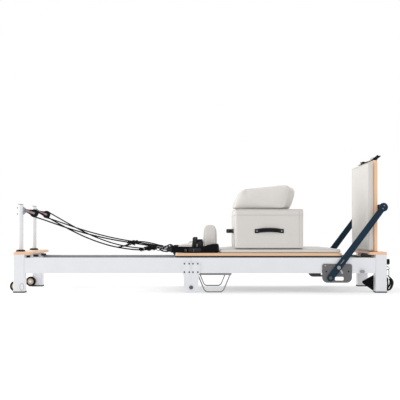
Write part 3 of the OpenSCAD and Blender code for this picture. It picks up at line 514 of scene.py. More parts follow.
def build_coat(tree, given):
    """Powder coat: a fine orange peel over slow waves."""
    peel = noise(tree, given["Vector"], given["Scale"], 2.0).outputs[0]
    wave = noise(tree, given["Vector"], 9.0, 3.0).outputs[0]
    return {"Height": math_node(tree, "MULTIPLY_ADD", wave, 0.4, peel), "Tone": wave}


def build_wood(tree, given):
    """Rotary cut veneer: noise drawn out along the grain, thin dark pores, and glue lines across the edge."""
    drawn = node(tree, "ShaderNodeMapping", {"Vector": given["Vector"], "Scale": (1.3, 16.0, 16.0)}).outputs[0]
    figure = noise(tree, drawn, 3.0, 7.0, Distortion=1.2).outputs[0]
    fine = node(tree, "ShaderNodeMapping", {"Vector": given["Vector"], "Scale": (9.0, 420.0, 420.0)}).outputs[0]
    pores = noise(tree, fine, 1.0, 3.0).outputs[0]
    layer = math_node(tree, "PINGPONG", given["Depth"], 0.0016)
    lines = ramp(tree, math_node(tree, "MULTIPLY", layer, 625.0), [(0.0, 0.0), (0.3, 1.0)])
    return {"Figure": figure, "Pores": ramp(tree, pores, [(0.30, 1.0), (0.44, 0.0)]), "Layers": lines}


def build_weave(tree, given):
    """Webbing: two sets of threads that pass over and under each other, from crossed sines. Its Tone is a painted
    highlight on the raised threads and painted shade on the sunk ones.
    """
    parts = node(tree, "ShaderNodeSeparateXYZ", {0: given["Vector"]}).outputs
    along = math_node(tree, "SINE", math_node(tree, "MULTIPLY", parts[0], given["Along"]))
    across = math_node(tree, "SINE", math_node(tree, "MULTIPLY", parts[1], given["Across"]))
    crossed = math_node(tree, "MULTIPLY", along, across)
    fuzz = noise(tree, given["Vector"], 300.0, 3.0).outputs[0]
    height = math_node(tree, "MULTIPLY_ADD", crossed, 0.5, fuzz)
    return {"Height": height, "Tone": math_node(tree, "MULTIPLY_ADD", crossed, 0.5, 0.5)}


def build_brushed(tree, given):
    """Brushing: noise drawn out along one direction."""
    vector = given["Vector"]
    drawn = node(tree, "ShaderNodeMapping", {"Vector": vector, "Scale": (6.0, 500.0, 500.0)}).outputs[0]
    lines = noise(tree, drawn, 1.0, 4.0).outputs[0]
    spots = noise(tree, vector, 35.0, 4.0).outputs[0]
    return {"Lines": lines, "Spots": spots}


def placed(tree, name, inputs, outputs, build, values):
    """A group placed in a material, with its own values."""
    made = node(tree, "ShaderNodeGroup", node_tree=group(name, inputs, outputs, build))
    for key, value in values.items():
        if isinstance(value, bpy.types.NodeSocket):
            tree.links.new(value, made.inputs[key])
        else:
            made.inputs[key].default_value = value
    return made.outputs


IN_SCALE = [("Vector", VECTOR, None), ("Scale", FLOAT, 100.0)]


def soiling(tree, vector, scale):
    """The soiling group, placed in a material."""
    return placed(tree, "soiling", IN_SCALE, [("Tone", FLOAT), ("Scuffs", FLOAT)], build_soiling,
                  {"Vector": vector, "Scale": scale})


def bump(tree, height, strength, distance):
    """The normal from a height."""
    inputs = {"Height": height, "Strength": strength, "Distance": distance}
    return node(tree, "ShaderNodeBump", inputs).outputs[0]


def shade(colour_value, factor):
    """A colour made darker or lighter, with its alpha."""
    return (*[min(1.0, c * factor) for c in colour_value], 1.0)


def span_of(tree, value, low, high):
    """A value from 0..1 stretched to low..high."""
    return math_node(tree, "MULTIPLY_ADD", value, high - low, low)


class Finish:
    """A material under construction: its tree, shader and Object coordinates."""

    def __init__(self, name, **constants):
        self.material = bpy.data.materials.new(name)
        self.material.use_nodes = True
        self.tree = self.material.node_tree
        self.shader = self.tree.nodes["Principled BSDF"]
        for key, value in constants.items():
            self.shader.inputs[key.replace("_", " ")].default_value = value
        place = self.tree.nodes.new("ShaderNodeTexCoord")
        self.vector, self.normal, self.uv = (place.outputs[k] for k in ("Object", "Normal", "UV"))

    def feed(self, **sockets):
        """Links sockets to the shader's inputs by name, and gives back the finished material."""
        for key, socket in sockets.items():
            self.tree.links.new(socket, self.shader.inputs[key.replace("_", " ")])
        return self.material


def coated(name, base, rough, scale, depth, specular=0.5):
    """Powder coat over steel."""
    f = Finish(name, Specular_IOR_Level=specular)
    coat = placed(f.tree, "powder coat", IN_SCALE, [("Height", FLOAT), ("Tone", FLOAT)], build_coat,
                  {"Vector": f.vector, "Scale": scale})
    dirt = soiling(f.tree, f.vector, 38.0)
    tone = blended(f.tree, coat["Tone"], shade(base, 0.95), shade(base, 1.04))
    worn = blended(f.tree, math_node(f.tree, "MULTIPLY", dirt["Scuffs"], 0.12), tone, shade(base, 0.6))
    return f.feed(Base_Color=worn, Roughness=span_of(f.tree, dirt["Tone"], rough - 0.06, rough + 0.08),
                  Normal=bump(f.tree, coat["Height"], 0.35, depth))


def vinyl(name, base):
    """Leatherette with a fine rounded grain, whose creases are painted darker: painted shade in the creases."""
    f = Finish(name, Specular_IOR_Level=0.42, Sheen_Weight=0.08, Sheen_Roughness=0.5)
    grain = placed(f.tree, "leather grain", IN_SCALE, [("Height", FLOAT), ("Crease", FLOAT), ("Tone", FLOAT)],
                   build_leather, {"Vector": f.vector, "Scale": 520.0})
    tone = blended(f.tree, grain["Tone"], shade(base, 0.94), shade(base, 1.04))
    # painted shade: the colour is darkened to 0.86 in the grain's creases, where shade falls
    crease_shaded = blended(f.tree, grain["Crease"], shade(base, 0.86), tone)
    return f.feed(Base_Color=crease_shaded, Roughness=span_of(f.tree, grain["Crease"], 0.62, 0.46),
                  Normal=bump(f.tree, grain["Height"], 0.45, 0.0006))


def plywood(name, base, grain_turn, thin_axis):
    """Lacquered birch ply: veneer on the faces and layers on the edges, told apart by the face's direction."""
    f = Finish(name, Specular_IOR_Level=0.5, Coat_Weight=0.25, Coat_Roughness=0.3)
    turned_vector = node(f.tree, "ShaderNodeMapping", {"Vector": f.vector, "Rotation": grain_turn}).outputs[0]
    parts = node(f.tree, "ShaderNodeSeparateXYZ", {0: f.vector}).outputs
    facing = node(f.tree, "ShaderNodeSeparateXYZ", {0: f.normal}).outputs[thin_axis]
    edge = ramp(f.tree, math_node(f.tree, "ABSOLUTE", facing), [(0.35, 1.0), (0.7, 0.0)])
    wood = placed(f.tree, "veneer", [("Vector", VECTOR, None), ("Depth", FLOAT, 0.0)],
                  [("Figure", FLOAT), ("Pores", FLOAT), ("Layers", FLOAT)], build_wood,
                  {"Vector": turned_vector, "Depth": parts[thin_axis]})
    face = blended(f.tree, wood["Figure"], shade(base, 0.80), shade(base, 1.12))
    face = blended(f.tree, math_node(f.tree, "MULTIPLY", wood["Pores"], 0.35), face, shade(base, 0.5))
    pale = blended(f.tree, wood["Figure"], shade(base, 0.9), shade(base, 1.1))
    layered = blended(f.tree, wood["Layers"], shade(base, 0.62), pale)
    return f.feed(Base_Color=blended(f.tree, edge, face, layered),
                  Roughness=span_of(f.tree, wood["Figure"], 0.36, 0.5),
                  Normal=bump(f.tree, wood["Pores"], 0.12, 0.0004))


def webbing(name, base, along, across, use_uv=True):
    """Woven nylon, with a painted sheen on the raised threads of its weave."""
    f = Finish(name, Specular_IOR_Level=0.10, Sheen_Weight=0.01, Sheen_Roughness=0.4)
    weave_and_sheen = placed(f.tree, "weave_and_sheen", [("Vector", VECTOR, None), ("Along", FLOAT, 1.0), ("Across", FLOAT, 1.0)],
                   [("Height", FLOAT), ("Tone", FLOAT)], build_weave,
                   {"Vector": f.uv if use_uv else f.vector, "Along": along, "Across": across})
    dirt = soiling(f.tree, f.vector, 90.0)
    # painted highlight and shade: raised threads are painted up to 2.2 times lighter, sunk ones 0.6 as light
    tone = blended(f.tree, weave_and_sheen["Tone"], shade(base, 0.6), shade(base, 2.2))
    lint = blended(f.tree, math_node(f.tree, "MULTIPLY", dirt["Scuffs"], 0.06), tone, shade(base, 8.0))
    return f.feed(Base_Color=lint, Roughness=span_of(f.tree, dirt["Tone"], 0.6, 0.85),
                  Normal=bump(f.tree, weave_and_sheen["Height"], 0.6, 0.0008))


def metal(name, base, rough, turn=(0.0, 0.0, 0.0)):
    """Brushed or plated metal."""
    f = Finish(name, Metallic=1.0)
    drawn = node(f.tree, "ShaderNodeMapping", {"Vector": f.vector, "Rotation": turn}).outputs[0]
    brushed = placed(f.tree, "brushing", [("Vector", VECTOR, None)], [("Lines", FLOAT), ("Spots", FLOAT)],
                     build_brushed, {"Vector": drawn})
    tone = blended(f.tree, brushed["Spots"], shade(base, 0.82), shade(base, 1.12))
    return f.feed(Base_Color=tone, Roughness=span_of(f.tree, brushed["Lines"], rough - 0.08, rough + 0.14),
                  Normal=bump(f.tree, brushed["Lines"], 0.15, 0.0002))


def moulded(name, base, rough, scale, depth, specular=0.14):
    """Moulded rubber, nylon or foam: a fine grain with scuffs."""
    f = Finish(name, Specular_IOR_Level=specular)
    grain = placed(f.tree, "leather grain", IN_SCALE, [("Height", FLOAT), ("Crease", FLOAT), ("Tone", FLOAT)],
                   build_leather, {"Vector": f.vector, "Scale": scale})
    dirt = soiling(f.tree, f.vector, 60.0)
    tone = blended(f.tree, grain["Tone"], shade(base, 0.8), shade(base, 1.5))
    dusty = blended(f.tree, math_node(f.tree, "MULTIPLY", dirt["Scuffs"], 0.05), tone, (0.20, 0.20, 0.20, 1))
    return f.feed(Base_Color=dusty, Roughness=span_of(f.tree, dirt["Tone"], rough - 0.07, rough + 0.1),
                  Normal=bump(f.tree, grain["Height"], 0.3, depth))


def finish(name):
    """The material of that name, made the first time it is asked for."""
    found = bpy.data.materials.get(name)
    if found:
        return found
    c = bpy.context.scene.reformer_finishes
    quarter = math.pi / 2
    makers = {
        "frame coat": lambda: coated(name, c.frame_white, 0.38, 700.0, 0.0003),
        "black coat": lambda: coated(name, c.black, 0.42, 700.0, 0.0003, 0.14),
        "navy coat": lambda: coated(name, c.navy, 0.34, 800.0, 0.0002, 0.16),
        "plate coat": lambda: coated(name, c.plate, 0.5, 1500.0, 0.0008, 0.3),
        "vinyl": lambda: vinyl(name, c.vinyl),
        # painted shadow: the piping's vinyl is 0.8 as light as the pads', standing in for shade along the seams
        "shaded piping vinyl": lambda: vinyl(name, shade(c.vinyl, 0.8)[:3]),
        "flat ply": lambda: plywood(name, c.ply, (0, 0, 0), 2),
        "cross ply": lambda: plywood(name, c.ply, (0, 0, quarter), 2),
        "upright ply": lambda: plywood(name, c.ply, (0, quarter, 0), 0),
        "webbing": lambda: webbing(name, c.black, 2600.0, 60.0),
        "braid": lambda: webbing(name, c.black, 1500.0, 25.0),
        "zinc": lambda: metal(name, c.steel, 0.28),
        "dark zinc": lambda: metal(name, shade(c.steel, 0.4)[:3], 0.36),
        "aluminium": lambda: metal(name, c.steel, 0.36),
        "spring wire": lambda: metal(name, c.steel, 0.3),
        "rubber": lambda: moulded(name, c.black, 0.62, 900.0, 0.0004),
        "nylon": lambda: moulded(name, c.black, 0.42, 700.0, 0.0002),
        "foam": lambda: moulded(name, c.black, 0.78, 420.0, 0.0009, 0.10),
        "hub": lambda: moulded(name, c.hub, 0.5, 700.0, 0.0002),
        "red rivet": lambda: moulded(name, c.rivet_red, 0.3, 700.0, 0.0001),
    }
    return makers[name]()


CAD_FINISHES = {
    "frame coat": ["foot_rails", "foot_legs", "foot_hinge_plates", "head_rails", "head_legs", "head_cross_beam",
                   "head_hinge_plates", "rope_posts", "wheel_brackets"],
    "black coat": ["foot_cross_beam", "foot_screws", "head_screws", "spring_bar", "carriage_frame"],
    "navy coat": ["footbar_arms"],
    "plate coat": ["footbar_plates"],
    "flat ply": ["carriage_board", "headrest_board"],
    "cross ply": ["foot_platform", "head_platform"],
    "upright ply": ["jump_board"],
    "aluminium": ["foot_tracks", "head_tracks"],
    "dark zinc": ["pivot_bolts", "snap_hook"],
    "zinc": ["pulley_brackets", "rope_rings", "front_index_pin", "rear_index_pin",
             "stop_pin", "front_stand", "rear_stand"],
    "rubber": ["foot_leg_pads", "head_leg_pads", "head_bumpers", "stop_blocks"],
    "nylon": ["end_knob", "post_collars", "pulley_blocks", "front_sheave", "rear_sheave", "head_roller_axle",
              "foot_roller_axle", "front_transport_wheel", "rear_transport_wheel"],
    "foam": ["footbar_bar"],
}
BEVELLED = {"foot_platform": 0.003, "head_platform": 0.003, "carriage_board": 0.003, "jump_board": 0.0025,
            "footbar_arms": 0.0012, "footbar_plates": 0.001, "foot_hinge_plates": 0.0008, "head_hinge_plates": 0.0008,
            "headrest_board": 0.002, "stop_blocks": 0.0015, "head_bumpers": 0.002, "foot_leg_pads": 0.002,
            "head_leg_pads": 0.002, "post_collars": 0.001, "end_knob": 0.002}


class ReformerOperator(Operator):
    """Shared settings of the operators."""
    bl_options = {"REGISTER", "UNDO"}


# ---------------------------------------------------------------- stage and ropes

class REFORMER_OT_stage(ReformerOperator):
    """Set up the floor, the soft lights and the camera"""
    bl_idname = "reformer.stage"
    bl_label = "Stage"

    glow = 0.5          # share of the floor's own light, which keeps the shadow on it weak

    def execute(self, context):
        scene, stage = context.scene, context.scene.reformer_stage
        lens = bpy.data.cameras.new("camera")
        lens.lens, lens.sensor_width, lens.shift_y = stage.focal, 36.0, stage.shift
        lens.clip_start, lens.clip_end = 0.05, 60.0
        camera = bpy.data.objects.new("camera", lens)
        camera.location = (0.0, -stage.distance, stage.height)
        camera.rotation_euler = (math.pi / 2, 0.0, 0.0)
        scene.collection.objects.link(camera)
        scene.camera = camera
        f = Finish("studio floor", Roughness=0.9, Specular_IOR_Level=0.1, Emission_Strength=self.glow)
        f.shader.inputs["Emission Color"].default_value = (1.0, 1.0, 1.0, 1.0)
        tone = noise(f.tree, f.vector, 2.0, 2.0).outputs[0]
        f.feed(Base_Color=blended(f.tree, tone, shade(stage.floor, 0.995), shade(stage.floor, 1.0)))
        reach = 60.0
        x, y = np.meshgrid((-reach, reach), (-reach, reach), indexing="ij")
        floor = mesh_piece("floor", np.stack([x, y, 0 * x], axis=-1), grid_faces(2, 2), f.material)
        self.light("key", (-4.6, 0.3, 1.9), 2.6, 130.0)
        self.light("back", (1.5, 3.0, 3.6), 3.0, 25.0)
        world = bpy.data.worlds.new("studio")
        world.use_nodes = True
        world.node_tree.nodes["Background"].inputs["Color"].default_value = (1.0, 1.0, 1.0, 1.0)
        world.node_tree.nodes["Background"].inputs["Strength"].default_value = 1.0
        scene.world = world
        scene.view_settings.view_transform = "Standard"
        return {"FINISHED"}

    def light(self, name, place, width, power):
        """A square soft light turned to the middle of the machine."""
        lamp = bpy.data.lights.new(name, "AREA")
        lamp.size, lamp.energy = width, power
        holder = bpy.data.objects.new(name, lamp)
        holder.location = place
        holder.rotation_euler = (Vector((0, 0, 0.3)) - Vector(place)).to_track_quat("-Z", "Y").to_euler()
        bpy.context.scene.collection.objects.link(holder)


# Route of the near rope: from the carriage's eye, under and round the sheave, and back to the strap's ring
ROPE_OUT = [(-0.180, -0.150, 0.256), (-0.240, -0.158, 0.278), (-0.320, -0.168, 0.297), (-0.440, -0.181, 0.317),
            (-0.580, -0.195, 0.341), (-0.720, -0.204, 0.373), (-0.850, -0.210, 0.410), (-0.950, -0.211, 0.444),
            (-1.030, -0.211, 0.472)]
ROPE_BACK = [(-1.010, -0.211, 0.493), (-0.930, -0.212, 0.447), (-0.850, -0.214, 0.404), (-0.760, -0.217, 0.361),
             (-0.670, -0.220, 0.326), (-0.580, -0.223, 0.299), (-0.490, -0.226, 0.282), (-0.410, -0.229, 0.274),
             (-0.345, -0.230, 0.275), (-0.288, -0.231, 0.282)]
WRAP_FROM, WRAP_TURN, WRAP_STEPS = -107.0, 194.0, 9
SHEAVE_PATH = 0.0215


def sheave_middle():
    """The near sheave's centre."""
    low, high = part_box("front_sheave")
    return np.array((low + high) / 2)


def rope_route():
    """The near rope's line: two listed stretches, and an arc of the sheave's path radius between them."""
    angle = np.radians(WRAP_FROM - WRAP_TURN * np.arange(WRAP_STEPS + 1) / WRAP_STEPS)
    wrap = sheave_middle() + SHEAVE_PATH * np.stack([np.cos(angle), 0 * angle, np.sin(angle)], axis=1)
    return smooth_path(np.vstack([ROPE_OUT, wrap, ROPE_BACK]), 5)


class REFORMER_OT_ropes(ReformerOperator):
    """Make the two ropes with their knots and clips"""
    bl_idname = "reformer.ropes"
    bl_label = "Ropes"

    def execute(self, context):
        straps = context.scene.reformer_straps
        route = rope_route()
        for side, name in ((NEAR, "front"), (FAR, "rear")):
            path = mirrored(route, side)
            points, faces, uv = swept(path, ring_profile(straps.rope / 2, 12))
            rope = mesh_piece(name + "_rope_braid", points, faces, finish("braid"), uv)
            knots = joined_piece(name + "_rope_knots", [self.knot(path, k) for k in self.knot_places(route)]
                                 + self.doublings(side), finish("braid"))
            for piece in (rope, knots):
                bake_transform(piece)
            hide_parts(name + "_rope")
            extras = [knots, "rope_rings"] if side == NEAR else [knots]
            extras + self.clips(side, name)
        return {"FINISHED"}

    def knot_places(self, route):
        """Places of the knots along the route: two on the way out and three on the way back."""
        turn = int(route[:, 0].argmin())
        out, back = route[:turn], route[turn:]
        return ([int(np.abs(out[:, 0] - x).argmin()) for x in (-0.458, -0.446)]
                + [turn + int(np.abs(back[:, 0] - x).argmin()) for x in (-0.385, -0.333, -0.300)])

    def doublings(self, side):
        """Rope ends tied back: one from the first knot to the ring, one across to the lower run, and one that
        doubles the lower run."""
        lines = [[(-0.458, -0.184, 0.321), (-0.400, -0.196, 0.320), (-0.340, -0.212, 0.309), (-0.290, -0.226, 0.296),
                  (-0.262, -0.231, 0.290)],
                 [(-0.535, -0.226, 0.291), (-0.500, -0.214, 0.298), (-0.470, -0.198, 0.311), (-0.452, -0.184, 0.326),
                  (-0.440, -0.182, 0.329)],
                 [(-0.398, -0.233, 0.279), (-0.360, -0.238, 0.286), (-0.320, -0.238, 0.290), (-0.280, -0.232, 0.286)],
                 [(-0.452, -0.180, 0.316), (-0.436, -0.179, 0.307), (-0.428, -0.180, 0.303)]]
        return [swept(mirrored(smooth_path(line, 6), side), ring_profile(0.0042, 8)) for line in lines]

    def knot(self, path, at):
        """An overhand knot: three turns of rope round the line, at r = 0.0050 + 0.0035 * sin(pi * way)."""
        centre, ahead = path[at], unit(path[min(at + 1, len(path) - 1)] - path[at - 1])
        side = unit(np.cross(ahead, UP))
        lift = np.cross(side, ahead)
        t = np.linspace(0, 6 * math.pi, 64)
        way = t / t[-1]
        r = 0.0050 + 0.0035 * np.sin(way * math.pi)
        line = (centre + ((way - 0.5) * 0.026)[:, None] * ahead + (r * np.cos(t))[:, None] * side
                + (r * np.sin(t))[:, None] * lift)
        return swept(line, ring_profile(0.0032, 8), level=tuple(ahead))

    def clips(self, side, name):
        """A swivel clip between the rope's ring and the hand loop: a gated oval of rod and a swivel barrel."""
        ring = mirrored(ROPE_BACK[-1], side) + (0.041, 0, 0)
        t = np.linspace(0, 2 * math.pi, 40, endpoint=False)
        oval = ring + np.stack([0.0185 * np.cos(t), 0 * t, 0.0085 * np.sin(t)], axis=1)
        parts = [swept(oval, ring_profile(0.0022, 8), level=ACROSS, closed=True),
                 turned([(POLE, 0), (0.006, 0.0), (0.0066, 0.004), (0.005, 0.008), (0.006, 0.014), (POLE, 0.0145)],
                        ring + (0.018, 0, 0), ALONG, 24)]
        clip = joined_piece(name + "_rope_clip", parts, finish("zinc"))
        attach(clip, "rope_ends")
        return [clip]


# ---------------------------------------------------------------- carried-over parts

class REFORMER_OT_finishes(ReformerOperator):
    """Give every carried-over part its finish, and ease its sharp edges"""
    bl_idname = "reformer.finishes"
    bl_label = "Finishes"

    def execute(self, context):
        for name, members in CAD_FINISHES.items():
            for member in members:
                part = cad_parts[member]
                part.data.materials.clear()
                part.data.materials.append(finish(name))
        for member, width in BEVELLED.items():
            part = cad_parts[member]
            weld = part.modifiers.new("weld", "WELD")
            weld.merge_threshold = 1e-5
            edge = part.modifiers.new("eased edges", "BEVEL")
            edge.width, edge.segments, edge.limit_method, edge.angle_limit = width, 2, "ANGLE", math.radians(35)
        return {"FINISHED"}


# ---------------------------------------------------------------- upholstery

class REFORMER_OT_carriage_pad(ReformerOperator):
    """Make the carriage's main pad and its neck"""
    bl_idname = "reformer.carriage_pad"
    bl_label = "Carriage pad"

    def execute(self, context):
        low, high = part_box("carriage_pad")
        rest_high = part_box("front_shoulder_rest")[1]
        neck_half = abs(rest_high.y) - 0.010
        main_x = rest_high.x + 0.014
        upholstered("carriage_pad_cover", (main_x, low.y, low.z), high, "carriage", ["carriage_pad"],
                    reach=(0.024, 0.024, 0.010), crown=0.003)
        upholstered("neck_pad_cover", (low.x, -neck_half, low.z), (main_x + 0.002, neck_half, high.z),
                    "carriage", ["carriage_pad"], reach=(0.016, 0.016, 0.010), crown=0.002)
        return {"FINISHED"}


class REFORMER_OT_headrest(ReformerOperator):
    """Make the headrest's pad"""
    bl_idname = "reformer.headrest"
    bl_label = "Headrest"

    def execute(self, context):
        low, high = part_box("headrest_pad")
        upholstered("headrest_cover", low, high, "headrest", ["headrest_pad"], reach=(0.024, 0.024, 0.016),
                    crown=0.005)
        return {"FINISHED"}


class REFORMER_OT_shoulder_rests(ReformerOperator):
    """Make the two shoulder rests"""
    bl_idname = "reformer.shoulder_rests"
    bl_label = "Shoulder rests"

    def execute(self, context):
        for name, body in (("front_shoulder_rest", "front_rest"), ("rear_shoulder_rest", "rear_rest")):
            low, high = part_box(name)
            upholstered(name + "_cover", low, high, body, [name], reach=(0.012, 0.014, 0.008),
                        reach_high=(0.012, 0.014, 0.010), warp=self.domed_top(low, high),
                        seams=((1, 0), (1, 1)), crown=0.003)
        return {"FINISHED"}

    def domed_top(self, low, high):
        """Rounds the top across its thickness. Above the shoulder height h, a point's distance from the middle
        shrinks by sqrt(1 - ((z - h) / r)^2), where r is the radius that is left above h."""
        middle, r = (low.x + high.x) / 2, 0.046

        def warp(points):
            over = np.clip((points[:, 2] - (high.z - r)) / r, 0, 1)
            points = points.copy()
            points[:, 0] = middle + (points[:, 0] - middle) * np.sqrt(np.maximum(1 - 0.86 * over ** 2, 0))
            return points
        return warp


class REFORMER_OT_sitting_box(ReformerOperator):
    """Make the sitting box with its piping and webbing handles"""
    bl_idname = "reformer.sitting_box"
    bl_label = "Sitting box"

    def execute(self, context):
        low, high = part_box("sitting_box")
        cover = upholstered("sitting_box_cover", low, high, "sitting_box", ["sitting_box"],
                            reach=(0.012, 0.012, 0.012), crown=0.0, inset=0.0015, slack=0.0006, give=0.3,
                            more_seams=self.panel_seams(low, high))
        self.handles(cover, low, high)
        return {"FINISHED"}

    def panel_seams(self, low, high):
        """Lines on the cover: the lid's seam round the box, and an upright seam on each side's foot end."""
        x0, x1, y0, y1 = low.x + 0.002, high.x - 0.002, low.y + 0.002, high.y - 0.002
        lid = rounded_outline(x0, x1, y0, y1, high.z - 0.040, 0.010)
        upright = np.linspace((x1 - 0.024, y0, low.z + 0.016), (x1 - 0.024, y0, high.z - 0.016), 24)
        return [(lid, True), (upright, False), (upright * (1, -1, 1), False)]

    def handles(self, cover, low, high):
        """Webbing handles: straps whose ends lie on the cover and whose middles stand off it, riveted at both
        ends. Two are on the long sides and one is on the head end."""
        handle_low, handle_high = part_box("box_handles")
        z = (handle_low.z + handle_high.z) / 2
        middle = (low.x + high.x) / 2
        straps, rivets, grips = [], [], []
        t = np.linspace(-1, 1, 41)
        lie = np.abs(t) > 0.78
        arch = np.where(lie, 0.0, np.cos(np.clip(t / 0.78, -1, 1) * math.pi / 2) ** 0.6)
        for side in (NEAR, FAR):
            for along, out, span, bow, face in self.placing(side, middle, low, high, z):
                rise = 0.007 if out[1] else 0.0
                flat = laid_on(cover, np.array(face) + t[:, None] * span * np.array(along))
                proud = (flat @ np.array(out, float)).max() - flat @ np.array(out, float)
                off = 0.002 + bow * arch + proud * (1 - lie)
                path = flat + off[:, None] * np.array(out) + (rise * arch)[:, None] * np.array(UP)
                straps.append(swept(path, band_profile(0.027, 0.003), level=UP))
                inner = np.abs(t) < 0.66
                grips.append(swept(path[inner], band_profile(0.023, 0.009), level=UP))
                for end in (3, 37):
                    rivets.append(turned(domed(0.0055, 0.0022), path[end] + 0.0015 * np.array(out), out, 20))
        for name, parts, material, slot in (("box_handle_straps", straps, "webbing", "webbing"),
                                            ("box_handle_grips", grips, "nylon", "webbing"),
                                            ("box_handle_rivets", rivets, "zinc", "steel_hardware")):
            piece = joined_piece(name, parts, finish(material))
            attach(piece, "sitting_box")
            if name == "box_handle_straps":
                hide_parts("box_handles")

    def placing(self, side, middle, low, high, z):
        """Each handle's direction, outward direction, half span, bow and middle."""
        face_y = low.y if side == NEAR else high.y
        yield (side, 0, 0), (0, -side, 0), 0.094, 0.008, (middle, face_y, z)
        if side == NEAR:
            yield (0, -1, 0), (-1, 0, 0), 0.108, 0.040, (low.x, 0.0, z)


class REFORMER_OT_cushion(ReformerOperator):
    """Make the wedge cushion on the box"""
    bl_idname = "reformer.cushion"
    bl_label = "Cushion"

    yaw = math.radians(-12.0)
    half_x, half_y = 0.175, 0.190
    foot_rise, head_rise = 0.156, 0.124
    foot_lean, head_lean = 0.056, 0.058

    def execute(self, context):
        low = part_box("wedge_cushion")[0]
        place = np.array([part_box("sitting_box")[0].x + 0.182, -0.072, low.z + 0.002])
        start = np.array([-self.half_x, -self.half_y, 0.0])
        upholstered("wedge_cushion_cover", start, (self.half_x, self.half_y, self.foot_rise), "cushion",
                    ["wedge_cushion"], reach=(0.036, 0.026, 0.012), reach_high=(0.036, 0.026, 0.046),
                    warp=self.wedge(place), crown=0.007, seams=((2, 0),), slack=0.0008, give=0.7)
        return {"FINISHED"}

    def wedge(self, place):
        """Turns a block into the leaning wedge: each level slides towards the foot end and is squeezed, and the
        height falls evenly from the foot end to the head end; then it is turned about Z and put in its place."""
        c, s = math.cos(self.yaw), math.sin(self.yaw)

        def warp(points):
            x, y, z = points.T
            level = z / self.foot_rise
            way = (x + self.half_x) / (2 * self.half_x)
            left = -self.half_x + self.head_lean * level
            right = self.half_x + self.foot_lean * level
            x = left + (right - left) * way
            z = level * (self.head_rise + (self.foot_rise - self.head_rise) * way)
            return place + np.stack([c * x - s * y, s * x + c * y, z], axis=1)
        return warp


class REFORMER_OT_jump_board(ReformerOperator):
    """Make the jump board's pad and its carrying strap"""
    bl_idname = "reformer.jump_board"
    bl_label = "Jump board pad"

    def execute(self, context):
        low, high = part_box("jump_pad")
        upholstered("jump_pad_cover", low, high, "jump_board", ["jump_pad"], reach=(0.009, 0.009, 0.014),
                    seams=((0, 0), (0, 1)), base=(0, 1), crown=0.002, inset=0.002)
        self.strap()
        return {"FINISHED"}

    def strap(self):
        """Webbing laid along the top edge with one folded bundle at the near end and one in the middle."""
        low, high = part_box("board_strap")
        x, z0 = (low.x + high.x) / 2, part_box("jump_board")[1].z
        t = np.linspace(0, 1, 60)
        path = np.stack([x + 0.004 * np.sin(9 * t), low.y + (high.y - low.y) * t,
                         z0 + 0.003 + 0.0016 * np.sin(23 * t) ** 2], axis=1)
        parts = [swept(path, band_profile(0.038, 0.0026), level=ALONG)]
        for y, width, folds, lean in ((low.y + 0.042, 0.078, 4, 0.9), (0.090, 0.052, 3, -0.3)):
            s = np.linspace(0, folds * math.pi, 24 * folds)
            rise = 0.006 + 0.0038 * s / math.pi - 0.16 * lean * width * np.cos(s)
            fold = np.stack([x + lean * rise, y + width / 2 * np.cos(s), z0 + np.maximum(rise, 0.003)], axis=1)
            parts.append(swept(fold, band_profile(0.028, 0.0026), level=ALONG))
            tie = np.linspace(0, 2 * math.pi, 28, endpoint=False)
            hoop = np.stack([x + 0.017 * np.cos(tie), y + 0 * tie, z0 + 0.010 + 0.0095 * np.sin(tie)], axis=1)
            parts.append(swept(hoop, band_profile(0.016, 0.002), level=ACROSS, closed=True))
        piece = joined_piece("board_strap_webbing", parts, finish("webbing"))
        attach(piece, "jump_board")
        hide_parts("board_strap")


# ---------------------------------------------------------------- straps, springs and hardware

def racetrack(length, width, power):
    """A closed line in the plane of X and Y about the origin: x = length / 2 * cos^power and y = width / 2 *
    sin^power, each with its own sign. A power of 1 is an ellipse, and less is squarer."""
    t = np.linspace(0, 2 * math.pi, 80, endpoint=False)
    c, s = np.cos(t), np.sin(t)
    x = np.sign(c) * np.abs(c) ** power * length / 2
    y = np.sign(s) * np.abs(s) ** power * width / 2
    return np.stack([x, y, 0 * t], axis=1)


